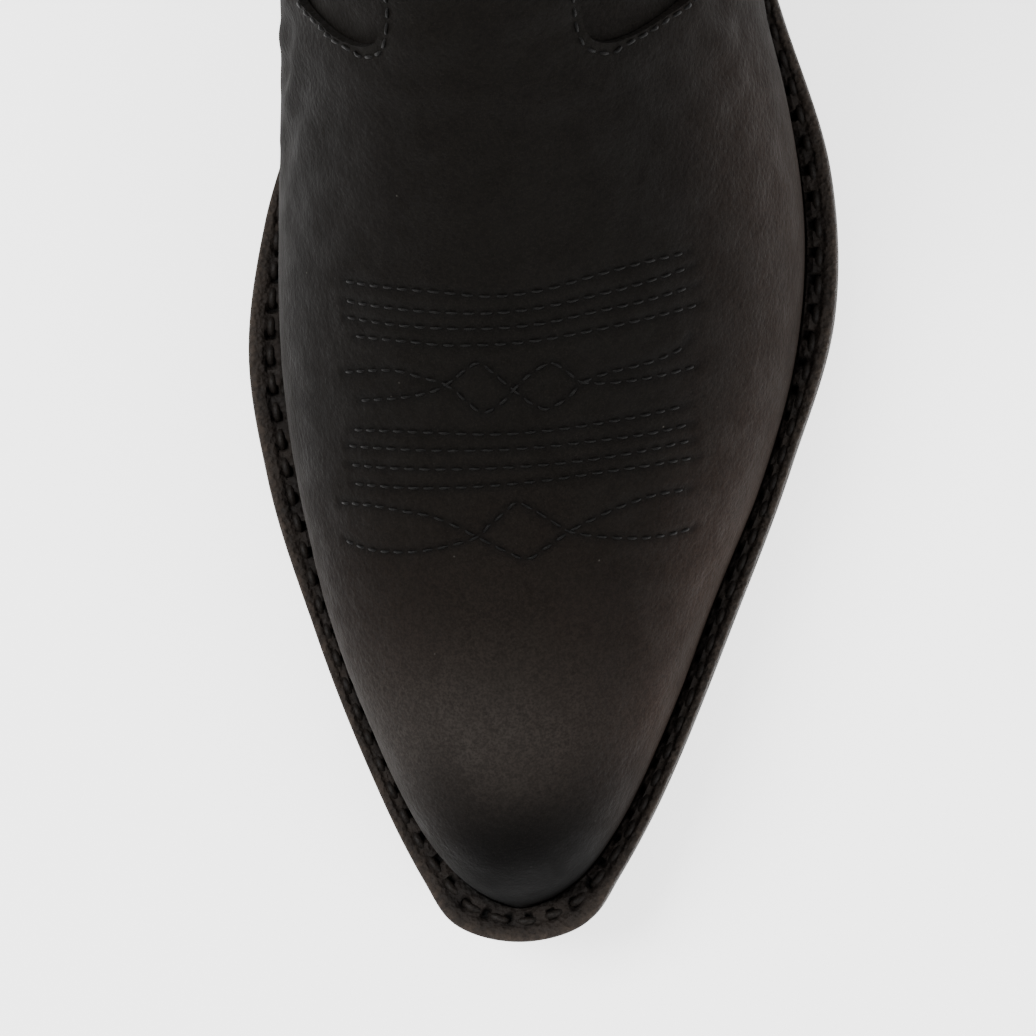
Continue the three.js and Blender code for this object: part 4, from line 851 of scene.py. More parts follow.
# The toe stitching: each line is a list of (row along the last, millimetres from the ridge).
TOE_LINES = [
    [(111.5, -24.5), (110, -14), (109, -5), (108.2, 2.5), (109, 10.5), (111, 18.5), (113, 27), (115, 37.5)],
    [(108.5, -24.5), (107, -14.5), (106, -5.5), (105.7, 2.5), (106.4, 10), (108, 18), (110, 27), (113, 38.5)],
    [(106, -24.5), (104.5, -14.5), (103.6, -5.5), (103.4, 2), (104, 10), (105.6, 18), (107.2, 26.5),
     (110, 38.5)],
    [(103, -22.5), (101.9, -12.5), (101, -4.5), (101, 3.5), (101.5, 9.5), (102.8, 17.5), (104.5, 26.5),
     (107, 38.5)],
    [(97.5, -25.5), (97.5, -15), (96.2, -9.5), (95, -5.5), (92.5, -2.5), (90.6, 0), (92, 3), (94, 5),
     (96.2, 7.5), (98, 11), (96.7, 13.5), (95, 16), (95, 22), (96, 29.5), (97.5, 37)],
    [(93, -22), (93.2, -13.5), (94, -8), (95, -5.5), (97, -2.5), (98.2, 0), (96.2, 2.5), (94, 5), (92, 7.5),
     (91, 10), (92.8, 13.5), (95, 16), (96.5, 20.5), (98, 27.5), (100, 33.5), (102, 36)],
    [(88.5, -24), (88, -14), (87.5, -5.5), (87.2, 2.5), (87.7, 10.5), (88.7, 18.5), (90, 27), (91.5, 35)],
    [(86, -25.5), (85.2, -14), (84.8, -5.5), (84.8, 2.5), (85.2, 10), (86, 18), (87, 27), (88.5, 35.5)],
    [(83, -25), (82.2, -14.5), (81.9, -5.5), (82, 2.5), (82.4, 10), (83.2, 18), (84.5, 27), (86, 36)],
    [(80, -24.5), (79.2, -14.5), (79, -6), (79.3, 2), (80, 10), (81, 18), (82, 26.5), (83.2, 36.5)],
    [(77, -28.5), (76.5, -21), (75.5, -14.5), (74.6, -9.5), (73, -5.5), (71.2, -2), (69.3, 1.5), (67.6, 5.5),
     (69.2, 8.5), (71.8, 12.5), (73.5, 16), (75.5, 21), (77.3, 27.5), (78.2, 35)],
    [(71, -28), (69.6, -22.5), (69, -17), (69.1, -11.5), (69.9, -6.5), (71.2, -2), (73, 0), (75, 2.5),
     (76.5, 4.5), (75, 7.5), (73.4, 10), (71.8, 12.5), (70.9, 17.5), (70.5, 24.5), (71, 30.5), (72, 36.5)],
]


def surface_line(line):
    path = smooth_path(line)
    row, arc = path[:, 0], path[:, 1]
    share = arc / arc_length(row, np.where(arc < 0, -1, 1))
    return on_and_out(row, share)


TOE_PATHS = [surface_line(line) for line in TOE_LINES]


def nearest(points, targets, reach):
    """Distance from each point to the nearest target, up to reach."""
    size = reach * 2
    cells = {}
    for index, key in enumerate(map(tuple, np.floor(targets / size).astype(int))):
        cells.setdefault(key, []).append(index)
    distance = np.full(len(points), reach)
    keys = np.floor(points / size).astype(int)
    groups = {}
    for index, key in enumerate(map(tuple, keys)):
        groups.setdefault(key, []).append(index)
    around = [(a, b, c) for a in (-1, 0, 1) for b in (-1, 0, 1) for c in (-1, 0, 1)]
    for key, members in groups.items():
        near = [i for d in around for i in cells.get((key[0] + d[0], key[1] + d[1], key[2] + d[2]), ())]
        if near:
            gaps = np.linalg.norm(points[members][:, None] - targets[near][None], axis=2).min(1)
            distance[members] = np.minimum(gaps, reach)
    return distance


def steps(*spans):
    """Places along a line from (from, to, spacing) spans."""
    places = [np.arange(low, high, step) for low, high, step in spans]
    return np.unique(np.concatenate(places + [[spans[-1][1]]]).round(4))


def front_lattice(rows, columns, shaft=False, key="inner"):
    row, column = np.meshgrid(rows, columns, indexing="ij")
    side = side_of(column)
    real = front_row(row, column) if shaft else row
    share = column * front_edge(real, side, key)
    return real, share, side


VAMP_STITCH = 1.3


def leather(name, base, normal, outer, inner, material, slot, node, keep=None, nose=False, marks=None):
    """A sheet of leather between two offsets from the last."""
    points, polygons, marks = sheet(base + normal * outer, base + normal * inner, keep, nose, marks)
    mesh_object(name, points, polygons, material, slot, (node,), marks)


def build_vamp():
    rows = steps((0, 3, 0.5), (3, 62, 1.05), (62, 119, 0.62), (119, 160, 0.95), (160, TONGUE_TOP + 2, 1.5))
    columns = np.linspace(-1, 1, 171)
    row, share, side = front_lattice(rows, columns, key="feather")
    arc = share * arc_length(row, side)
    keep = vamp_keep(row, arc)
    base, normal = on_and_out(row, share)
    targets = np.concatenate([p for p, _ in TOE_PATHS])
    gap = nearest(base.reshape(-1, 3), targets, 3.2).reshape(row.shape)
    groove = -0.24 * bell(gap, 0.7) + 0.06 * bell(gap - 1.7, 0.8)
    edge = -0.25 * bell(keep - VAMP_STITCH, 0.6)
    level = np.abs(share)
    crease = smoothstep(row, 112, 150) * (1 - smoothstep(row, 190, 240)) * (1 - smoothstep(level, 0.4, 0.6))
    folds = crease * 0.35 * waves(base * np.array([0.5, 1.6, 1.6]), 15, 3)
    flank = smoothstep(level, 0.2, 0.5) * (1 - smoothstep(row, 70, 130))
    wrinkle = flank * 0.035 * waves(base, 5.5, 5, 14)
    hem = smoothstep(share_at_height(row, side) - level, 0, 0.03)
    lift = (groove + edge + folds + wrinkle) * hem
    outer = base + normal * lift[..., None]
    leather("vamp_leather", base, normal, lift[..., None], -LEATHER, NUBUCK, "upper_nubuck", "vamp", keep,
            nose=True, marks=rub_marks(row, share, side, base, gap))
    seams = []
    for line in contour(keep, VAMP_STITCH):
        if on_lattice(row[..., None], line).min() > SCALLOP_ROW - 12:
            seams.append(walked(on_lattice(outer, line), on_lattice(normal, line)))
    sew("vamp_edge_stitching", seams, THREAD)
    sew("toe_stitching", TOE_PATHS, THREAD, lift=-0.2, radius=0.25)


def rub_marks(row, share, side, base, gap):
    """How much the nap is rubbed brown, where a painted highlight lies across the toe and along the flanks,
    and where the toe is darker and smoother: at its tip, and as painted shade along the toe stitch grooves.
    """
    level = np.abs(share)
    fore = 1 - smoothstep(row, 130, 175)
    flank = smoothstep(level, np.where(side > 0, 0.2, 0.3), np.where(side > 0, 0.52, 0.6))
    rub = np.where(side > 0, 0.95, 0.26) * flank * fore * (1 - 0.35 * smoothstep(row, 70, 112))
    rub += 0.35 * (1 - smoothstep(row, 40, 95)) * smoothstep(row, 14, 40)
    rub += 0.22 * smoothstep(row, 235, 300)
    # painted highlight: a lighter band across the toe and a line along each flank where light catches the
    # leather
    painted_highlight = 0.8 * bell(row - 37, 15) * (1 - smoothstep(np.abs(share + 0.2), 0.1, 0.7))
    painted_highlight += 0.25 * bell(level - 0.62, 0.07) * fore
    tip = 1 - smoothstep(row + 4 * waves(base, 26, 11, 5), 5, 42)
    tip = tip * (1 - smoothstep(level, 0.55, 0.8) * smoothstep(row, 6, 14))
    tip = tip * np.where(side < 0, 1 - 0.75 * smoothstep(level, 0.08, 0.32) * smoothstep(row, 6, 20), 1)
    # the tip is darker and smoother; the darkening along the stitch grooves is painted shade
    polish_and_shade = np.clip(tip + 0.55 * bell(gap, 0.8), 0, 1)
    return {"rub": np.clip(rub * (1 - tip), 0, 1), "painted_highlight": np.clip(painted_highlight * (1 - tip), 0, 1), "polish_and_shade": polish_and_shade}


def flat_marks(row, base):
    soft = waves(base, 60, 21, 6)
    rub = 0.1 + 0.1 * soft + 0.3 * smoothstep(row, TOP_ROW - 40, TOP_ROW)
    rub = rub * smoothstep(row, ARM_FOOT_ROW, FAN_END) + 0.02
    return {"rub": np.clip(rub, 0, 1), "painted_highlight": rub * 0, "polish_and_shade": rub * 0}


def panel_foot(column):
    return LOWER_ROW + (ARM_FOOT_ROW - 8 - LOWER_ROW) * np.abs(column) ** 1.6


def ankle_folds(base, height, edge):
    """Soft rolls where the shaft breaks over the instep, and a slow drape above."""
    low = bell(height - 120, 34)
    rolls = np.sin(base[..., 2] / 7.5 + base[..., 0] / 17 + 1.6 * waves(base, 55, 31, 5))
    drape = waves(base * np.array([1, 1, 0.45]), 58, 33, 7)
    high = smoothstep(height, 120, 190)
    return edge * (0.85 * low * (0.5 + 0.5 * rolls) + 0.55 * high * (0.5 + 0.5 * drape))


SEAM_STITCHES, SEAM_PITCH = (2.2, 4.8), 3.0
COUNTER_STITCHES, COUNTER_PITCH = (2.4, 5.0), 2.9


def seam_line(walk, side, shift, lowest=0.0):
    """A stitch line beside the side seam, shift millimetres behind it, and above a height."""
    share = side * seam_share(walk, side, shift)
    points = off_last(walk, share, np.full(len(walk), MIDDLE[0]))
    above = points[:, 2] > lowest
    return walked(points[above], normal_at(walk, share)[above])


def build_shaft_front():
    rows = steps((LOWER_ROW - 4, FAN_END, 1.6), (FAN_END, TOP_ROW, 2.2))
    columns = np.linspace(-1, 1, 121)
    row, share, side = front_lattice(rows, columns, shaft=True)
    grid_row, column = np.meshgrid(rows, columns, indexing="ij")
    base, normal = on_and_out(row, share)
    edge = 1 - smoothstep(np.abs(column), 0.86, 0.97)
    under = 1 - smoothstep(vamp_keep(row, share * arc_length(row, side)), -9, -3)
    top = 1 - smoothstep(grid_row, TOP_ROW - 26, TOP_ROW - 10)
    lift = ankle_folds(base, base[..., 2], edge * under * top)
    leather("front_shaft_leather", base, normal, (MIDDLE[0] + lift)[..., None], MIDDLE[1], NUBUCK,
            "upper_nubuck", "shaft_front", grid_row - panel_foot(column), marks=flat_marks(row, base))
    walk = np.arange(ARM_FOOT_ROW + 2, TOP_ROW - 8, 1.0)
    seams = [seam_line(walk, s, -SEAM_GAP / 2 - inset) for inset in SEAM_STITCHES for s in (-1, 1)]
    sew("front_seam_stitching", seams, THREAD, pitch=SEAM_PITCH)


def back_lattice(rows, columns, level=FEATHER + LEATHER + GAP):
    row, column = np.meshgrid(rows, columns, indexing="ij")
    lows = back_low(columns, level)[None, :]
    real = np.where(row <= 1, lows + (STRAIGHT_ROW - lows) * row,
                    STRAIGHT_ROW + (top_row(column) - STRAIGHT_ROW) * (row - 1))
    return real, back_share(real, column), column


def cover_top(column):
    return HEEL_HEIGHT + 84 - 44 * np.abs(column) ** 1.5


def build_back():
    rows = np.concatenate([np.linspace(0, 1, 70), np.linspace(1, 2, 62)[1:]])
    columns = np.linspace(-1, 1, 121)
    real, share, column = back_lattice(rows, columns)
    base, normal = on_and_out(real, share)
    height = base[..., 2]
    stiff = HEEL_HEIGHT + 68 - 40 * np.abs(column) ** 1.5
    edge = 1 - smoothstep(np.abs(column), 0.86, 0.97)
    grid_row = np.meshgrid(rows, columns, indexing="ij")[0]
    top = 1 - smoothstep(grid_row, 1.82, 1.94)
    free = smoothstep(height - cover_top(column), 2, 14)
    lift = ankle_folds(base, height, edge * top * free)
    leather("back_shaft_leather", base, normal, (MIDDLE[0] + lift)[..., None], MIDDLE[1], NUBUCK,
            "upper_nubuck", "shaft_back", height - stiff, marks=flat_marks(real, base))
    real, share, column = back_lattice(rows[:62], columns, FEATHER)
    base, normal = on_and_out(real, share)
    height = base[..., 2]
    keep = cover_top(column) - height
    groove = -0.25 * sum(bell(keep - inset, 0.7) for inset in COUNTER_STITCHES)
    outer = base + normal * groove[..., None]
    marks = flat_marks(real, base)
    marks["rub"] = np.clip(marks["rub"] + 0.35 * (1 - smoothstep(height, 45, 70)), 0, 1)
    leather("counter_leather", base, normal, groove[..., None], -LEATHER, NUBUCK, "upper_nubuck",
            "counter_cover", keep, marks=marks)
    seams = [walked(on_lattice(outer, line), on_lattice(normal, line))
             for level in COUNTER_STITCHES for line in contour(keep, level)]
    sew("counter_stitching", seams, THREAD, pitch=COUNTER_PITCH)
    walk = np.arange(FAN_END - 30, TOP_ROW - 8, 1.0)
    seams = [seam_line(walk, s, SEAM_GAP / 2 + inset, HEEL_HEIGHT + 46) for s in (-1, 1)
             for inset in SEAM_STITCHES]
    sew("back_seam_stitching", seams, THREAD, pitch=SEAM_PITCH)


def build_linings():
    rows = steps((0, 8, 1), (8, FAN_END, 2.6))
    low_front = front_lattice(rows, np.linspace(-1, 1, 61))[:2]
    high_front = front_lattice(steps((FAN_END + 1.2, TOP_ROW, 2.6)), np.linspace(-1, 1, 81), shaft=True)[:2]
    back = back_lattice(np.concatenate([np.linspace(0, 1, 40), np.linspace(1, 2, 50)[1:]]),
                        np.linspace(-1, 1, 81))[:2]
    for name, place, node in (("vamp_lining_leather", low_front, "vamp_lining"),
                              ("front_lining_leather", high_front, "shaft_lining_front"),
                              ("back_lining_leather", back, "shaft_lining_back")):
        leather(name, *on_and_out(*place), *INSIDE, LINER, "lining_leather", node, nose=node == "vamp_lining")


build_vamp()
build_shaft_front()
build_back()
build_linings()


# ------------------------------------------------------------ the bottom
WELT_TOP = FEATHER + WELT
HEEL_RUN = 60.0  # steps from the foot of the side seam round to the middle of the heel
HEEL_MIDDLE = SEAM_FOOT + HEEL_RUN


def wall(place, side, level, key):
    """The upper's surface just over the sole, walking from the toe round to the middle of the heel."""
    place, side = np.asarray(place, float), np.asarray(side)
    fore = np.minimum(place, SEAM_FOOT)
    column = side * np.clip((HEEL_MIDDLE - place) / HEEL_RUN, 0, 1)
    aft_row = back_low(column, level)
    aft = place > SEAM_FOOT
    row = np.where(aft, aft_row, fore)
    share = np.where(aft, back_share(aft_row, column, side), side * share_at_height(fore, side, key))
    point, normal = on_and_out(row, share)
    normal[..., 2] = 0
    return point, unit(normal)


def edge_frame(place, side):
    """Points on the wall and on the sole's edge beside it, and how far apart they are."""
    point, outward = wall(place, side, WELT_TOP, "welt")
    start = point + outward * 0.35

    def beyond(reach):
        p = start + outward * reach[..., None]
        station = p[..., 1] + ORIGIN
        inside = np.clip(station, 0, SOLE_LENGTH)
        return np.abs(p[..., 0]) - sole_width(p[..., 0], inside) + np.abs(station - inside) + 1e-4
    zero = np.zeros(len(place))
    reach = root_of(beyond, zero, zero + 30)
    return start, start + outward * reach[..., None], reach


def even_walk(first, last, spacing):
    """Signed steps from one side to the other, evenly spaced along the sole's edge."""
    rough = np.linspace(first, last, 900)
    end = edge_frame(np.abs(rough), side_of(rough))[1]
    end[:, 2] = sole_height(end[:, 1] + ORIGIN)
    arc = run(end)
    return np.interp(np.linspace(0, arc[-1], int(arc[-1] / spacing)), arc, rough), arc[-1]


BREAST_PLACE = float(root_of(lambda p: wall(p, 1, FEATHER, "feather")[0][..., 1] + ORIGIN - HEEL_FRONT,
                             np.array(10.0), np.array(HEEL_MIDDLE - 2)))


def edge_strip(walk, backwards, distances):
    """From the sole's edge in to the wall: points, the sole's height there, distance from the edge."""
    place = HEEL_MIDDLE - np.abs(walk) if backwards else np.abs(walk)
    start, end, reach = edge_frame(place, side_of(walk))
    for p in (start, end):
        p[:, 2] = sole_height(p[:, 1] + ORIGIN)
    inward = (start - end) / np.maximum(reach, 1e-6)[:, None]
    inward[:, 2] = 0
    squeeze = np.minimum(1, (reach - 0.5) / distances[-2])[:, None]
    along = np.concatenate([distances[None, :-1] * squeeze, np.maximum(reach, 0.5)[:, None]], 1)
    points = end[:, None] + inward[:, None] * along[..., None]
    return points, sole_height(points[..., 1] + ORIGIN), along


def at_height(points, height):
    return np.concatenate([points[..., :2], height[..., None]], -1)


# How far each line of the welt lies from the sole's edge, and how far below the welt's top.
WELT_DISTANCES = np.array([0.0, 0.1, 0.35, 0.8, 1.5, 2.2, 2.6, 2.95, 3.3, 3.75, 4.2, 4.55, 4.95, 5.6, 9.0])
WELT_DROPS = np.array([0.8, 0.42, 0.14, 0.0, 0.0, 0.0, 0.12, 0.42, 0.5, 0.52, 0.5, 0.42, 0.3, 0.5, 0.7])
RAND_DISTANCES = np.array([0.0, 0.1, 0.35, 0.9, 1.8, 3.0, 6.0])
RAND_DROPS = np.array([0.8, 0.4, 0.13, 0, 0, 0.1, 0.35])
STITCH_PITCH, CHANNEL, HOLE_DEPTH = 4.7, 3.75, 1.2
BREAST_GAP = 0.6


def build_welt():
    walk, length = even_walk(-BREAST_PLACE + BREAST_GAP, BREAST_PLACE - BREAST_GAP, 0.5)
    points, ground, along = edge_strip(walk, False, WELT_DISTANCES)
    phase = (np.linspace(0, length, len(walk)) / STITCH_PITCH) % 1
    away = np.minimum(phase, 1 - phase) * STITCH_PITCH
    hole = (1 - smoothstep(away, 0.55, 0.95))[:, None] * np.exp(-((along - CHANNEL) / 0.85) ** 4)
    rough = 0.1 * waves(points, 2.6, 41, 14) * smoothstep(along, 0.2, 0.8)
    top = at_height(points, ground + WELT_TOP - WELT_DROPS - HOLE_DEPTH * hole + rough)
    # painted shade: dark in the stitch holes and in the groove beside the upper
    recess_shade = np.clip(hole + 0.75 * smoothstep(along, 5.0, 6.0), 0, 1)
    worn = bell(along - 0.45, 0.5) + 0.35 * (1 - smoothstep(along, 1.6, 2.8))
    marks = {"recess_shade": recess_shade, "worn": np.clip(worn, 0, 1)}
    solid, polygons, marks = sheet(top, at_height(points, ground + FEATHER), marks=marks)
    mesh_object("welt_strip", solid, polygons, WELT_MATERIAL, "welt_leather", ("welt",), marks)
    middle = int(np.argmin(np.abs(WELT_DISTANCES - CHANNEL)))
    line = at_height(top[:, middle], ground[:, middle] + WELT_TOP - 0.84)
    upward = np.tile([0.0, 0.0, 1.0], (len(line), 1))
    solid, polygons = stitch_mesh([walked(line, upward)], STITCH_PITCH, 3.8, 0.76, 0.0)
    mesh_object("welt_stitching", solid, polygons, WELT_THREAD, "welt_leather", sharp=180)


def build_rand():
    end = HEEL_MIDDLE - BREAST_PLACE - BREAST_GAP
    points, ground, along = edge_strip(np.linspace(-end, end, 420), True, RAND_DISTANCES)
    top = at_height(points, ground + WELT_TOP - RAND_DROPS + 0.06 * waves(points, 2.6, 43, 12))
    low = at_height(points, ground + FEATHER)
    marks = {"recess_shade": along[::-1] * 0, "worn": np.clip(bell(along - 0.4, 0.5), 0, 1)[::-1]}
    solid, polygons, marks = sheet(top[::-1], low[::-1], marks=marks)
    mesh_object("heel_rand_strip", solid, polygons, WELT_MATERIAL, "welt_leather", ("heel_rand",), marks)


# The rounded edge of a cut layer: how far in it lies, and its share of the layer's height.
ROUNDED = [(0.45, 0.0), (0.14, 0.05), (0.0, 0.16), (0.0, 0.5), (0.0, 0.88), (0.12, 0.97), (0.35, 1.0)]


def layer(name, outline, heights, material, slot, node, most_inset=0.3):
    """A flat layer: outline(share) is a ring of points and heights(station) gives its low and high face.

    The ring runs back along the right edge and forward again along the left.
    """
    rings = []
    for inset, share in ROUNDED:
        ring = outline(share)
        tangent = unit(np.roll(ring, -1, 0) - np.roll(ring, 1, 0))
        ring = ring - np.stack([tangent[:, 1], -tangent[:, 0]], 1) * min(inset, most_inset)
        low, high = heights(ring[:, 1] + ORIGIN)
        rings.append(np.column_stack([ring, np.broadcast_to(low + (high - low) * share, len(ring))]))
    rings = np.array(rings)
    size = rings.shape[1]
    grid = np.arange(len(rings) * size).reshape(-1, size)
    side = np.roll(grid, -1, 1)
    i = np.arange(size // 2 - 1)
    low_cap, high_cap = (np.stack([r[i], r[i + 1], r[size - 2 - i], r[size - 1 - i]], 1)
                         for r in (grid[0], grid[-1]))
    quads = np.stack([grid[:-1], side[:-1], side[1:], grid[1:]], 2).reshape(-1, 4)
    mesh_object(name, rings.reshape(-1, 3), [quads, low_cap[:, ::-1], high_cap], material, slot, (node,),
                sharp=50)


def build_outsole():
    station = SOLE_LENGTH / 2 * (1 - np.cos(np.linspace(0.012, math.pi - 0.012, 240)))
    right = np.column_stack([sole_lateral(station), station - ORIGIN])
    left = np.column_stack([-sole_medial(station), station - ORIGIN])
    layer("outsole_leather", lambda share: np.concatenate([right, left[::-1]]),
          lambda s: (sole_height(s), sole_height(s) + OUTSOLE), SOLE_EDGE, "sole_leather", "outsole", 0.45)


def heel_outline(height):
    place = np.sin(np.linspace(0, math.pi / 2, 90))
    place[-1] = 0.9998
    up = height / HEEL_HEIGHT
    front = HEEL_FRONT + HEEL_LEAN * (1 - up)
    back = SOLE_LENGTH - 1 - HEEL_UNDERCUT * (1 - height / (HEEL_HEIGHT + 8))
    station = front + (back - front) * place - ORIGIN
    seat = HEEL_FRONT + (SOLE_LENGTH - HEEL_FRONT) * place
    narrow = 1 - HEEL_TAPER / HEEL_HALF_WIDTH * (1 - up)
    return np.concatenate([np.column_stack([sole_lateral(seat) * narrow, station]),
                           np.column_stack([-sole_medial(seat) * narrow, station])[::-1]])


HEEL_LEAN, HEEL_HALF_WIDTH = 1.5, 30.0
TOP_LIFT, LIFT, LIFTS = 6.0, 5.6, 4


def build_heel():
    rng.uniform(size=LIFTS + 1)  # so that the stitches made after the heel keep their draws

    def slab(name, low, high, reach, material, slot, node):
        lower, upper = heel_outline(low), heel_outline(reach)
        layer(name, lambda share: lower + (upper - lower) * share, lambda s: (low, high(s)), material, slot,
              node)
    slab("top_lift_rubber", 0.0, lambda s: TOP_LIFT, TOP_LIFT, RUBBER, "heel_rubber", "top_lift")
    low = TOP_LIFT + GAP
    for lift in range(1, LIFTS + 1):
        slab(f"heel_lift_leather_{lift}", low, lambda s: low + LIFT, low + LIFT, STACK, "sole_leather",
             f"heel_lift_{lift}")
        low += LIFT + GAP

    def wedge_top(station):
        return HEEL_HEIGHT - GAP + SEAT_SLOPE * (np.clip(station, HEEL_FRONT, SOLE_LENGTH - 1) - HEEL_FRONT)
    slab("heel_wedge_leather", low, wedge_top, HEEL_HEIGHT + 3, STACK, "sole_leather", "heel_wedge")


# ------------------------------------------------------------ trimming
PIPING_RADIUS, PIPING_FLANGE, PIPING_END = 1.5, 0.5, 52.0


def build_piping():
    opening = math.asin(PIPING_FLANGE / PIPING_RADIUS)
    turns = np.linspace(-math.pi / 2 + opening, 1.5 * math.pi - opening, 18)
    x = np.concatenate([PIPING_RADIUS * np.cos(turns), [-PIPING_FLANGE, PIPING_FLANGE]])
    for side, name in ((-1, "medial"), (1, "lateral")):
        rows = np.arange(FOOT_END, FAN_END, 0.5)
        height = over_sole(on_last(rows, side * seam_share(rows, side)))
        low = float(rows[np.argmax(height > WELT_TOP + 1.5)])
        walk = np.linspace(low, TOP_ROW - PIPING_END, 220)
        share = side * seam_share(walk, side)
        point, normal = on_and_out(walk, share)
        across = unit(np.cross(unit(np.gradient(point, axis=0)), normal)) * side
        # it drops into the seam where the counter cover ends
        drop = smoothstep(point[:, 2], HEEL_HEIGHT + 44, HEEL_HEIGHT + 56)
        lift = GAP - drop * (LEATHER + GAP)
        y = np.concatenate([lift[:, None] + PIPING_RADIUS + PIPING_RADIUS * np.sin(turns),
                            np.full((len(walk), 2), MIDDLE[1])], 1)
        rings = point[:, None] + x[None, :, None] * across[:, None] + y[..., None] * normal[:, None]
        points, polygons = sweep(rings[:, ::-side])
        mesh_object(f"piping_{name}", points, polygons, TRIM, "trim_leather", (f"side_piping_{name}",))


BINDING, BINDING_DEPTH, BINDING_STITCH, SHOULDER = 1.2, 9.0, 6.6, 1.1


def binding_profile():
    """(offset from the last, rise over the top edge) round the folded strip, with rounded shoulders."""
    outside, inside, over, depth = MIDDLE[0] + GAP, INSIDE[1] - GAP, GAP + BINDING, -BINDING_DEPTH
    turns = np.linspace(0, math.pi / 2, 6)
    outer = [(outside + BINDING - SHOULDER * (1 - math.cos(t)), over - SHOULDER * (1 - math.sin(t)))
             for t in turns]
    inner = [(inside - BINDING + SHOULDER * (1 - math.sin(t)), over - SHOULDER * (1 - math.cos(t)))
             for t in turns]
    return ([(outside + 0.25, depth), (outside + BINDING - 0.2, depth), (outside + BINDING, depth + 0.4),
             (outside + BINDING, -4.0)] + outer + inner
            + [(inside - BINDING, -4.0), (inside - BINDING, depth + 0.4), (inside - BINDING + 0.2, depth),
               (inside - 0.25, depth), (inside, GAP), (outside, GAP)])


def build_binding():
    columns = np.linspace(-1, 1, 150)
    rows = top_row(columns)
    shares = {"front": lambda place: columns * front_edge(place, side_of(columns)),
              "back": lambda place: back_share(place, columns)}
    for name, share_at in shares.items():
        rings = []
        for offset, rise in binding_profile():
            place = rows + min(rise, 0)
            p = off_last(place, share_at(place), np.full(len(place), offset))
            p[:, 2] += max(rise, 0)
            rings.append(p)
        rings = np.array(rings).transpose(1, 0, 2)
        points, polygons = sweep(rings if name == "back" else rings[:, ::-1])
        mesh_object(f"binding_{name}", points, polygons, TRIM, "trim_leather", (f"top_binding_{name}",))
        place = rows - BINDING_STITCH
        p = off_last(place, share_at(place), np.full(len(place), MIDDLE[0] + GAP + BINDING))
        sew(f"binding_stitching_{name}", [walked(p, normal_at(place, share_at(place)))], THREAD, pitch=2.9)


STRAP_WIDTH, STRAP_THICK, STRAP_OUTER, STRAP_INNER = 22.0, 2.0, 50.0, 36.0
STRAP_LOOP, STRAP_STRAIGHT, STRAP_SEAM = 19.0, 6.0, 0.78


def build_straps():
    outer = GAP + STRAP_THICK / 2
    inner = INSIDE[1] - 2 * GAP - BINDING - STRAP_THICK / 2
    middle, half = (outer + inner) / 2, (outer - inner) / 2
    bow = STRAP_LOOP - STRAP_THICK / 2 - STRAP_STRAIGHT
    turns = np.linspace(0, math.pi, 30)
    path = np.concatenate([
        np.column_stack([np.full(40, outer), np.linspace(-STRAP_OUTER, STRAP_STRAIGHT, 41)[:-1]]),
        np.column_stack([middle + half * np.cos(turns), STRAP_STRAIGHT + bow * np.sin(turns)]),
        np.column_stack([np.full(30, inner), np.linspace(STRAP_STRAIGHT, -STRAP_INNER, 31)[1:]])])
    slope = unit(np.gradient(path, axis=0))
    outward = np.column_stack([slope[:, 1], -slope[:, 0]])
    across = np.linspace(-1, 1, 25)
    rounded = np.sqrt(np.clip(1 - np.clip((np.abs(across) - 0.9) / 0.1, 0, 1) ** 2, 0.1, 1))
    for side, name in ((-1, "medial"), (1, "lateral")):
        def place(u, offset, rise):
            row = TOP_ROW + np.minimum(rise, 0)
            share = side * (seam_share(row, side) + u * STRAP_WIDTH / 2 / arc_length(row, side))
            p = off_last(row, share, offset)
            p[..., 2] += np.maximum(rise, 0)
            return p, normal_at(row, share)
        faces = []
        for face in (1, -1):
            lift = face * STRAP_THICK / 2 * rounded[None, :]
            if face > 0:
                lift = lift - 0.22 * bell(np.abs(across) - STRAP_SEAM, 0.05)[None, :]
            rise = path[:, 1:] + outward[:, 1:] * lift
            faces.append(place(across[None, :] + 0 * rise, path[:, :1] + outward[:, :1] * lift, rise)[0])
        solid, polygons, _ = sheet(*(face if side > 0 else face[:, ::-1] for face in faces))
        mesh_object(f"strap_{name}", solid, polygons, TRIM, "trim_leather", (f"pull_strap_{name}",))
        leg = (path[:, 1] < 12) & (np.arange(len(path)) < 60)
        face = path[leg] + outward[leg] * [STRAP_THICK / 2, 0]
        lines = [walked(*place(np.full(len(face), u), face[:, 0], face[:, 1]))
                 for u in (-STRAP_SEAM, STRAP_SEAM)]
        u = np.linspace(-STRAP_SEAM, STRAP_SEAM, 30)
        lines += [walked(*place(u, np.full(30, outer + STRAP_THICK / 2), np.full(30, rise)))
                  for rise in (-STRAP_OUTER + 2.2, -4.0)]
        sew(f"strap_stitching_{name}", lines, THREAD, pitch=2.7)


TEARDROP_LENGTH, TEARDROP_WIDTH, TEARDROP_LEAN, TEARDROP_TIP = 20.0, 9.0, 0.4, 0.3


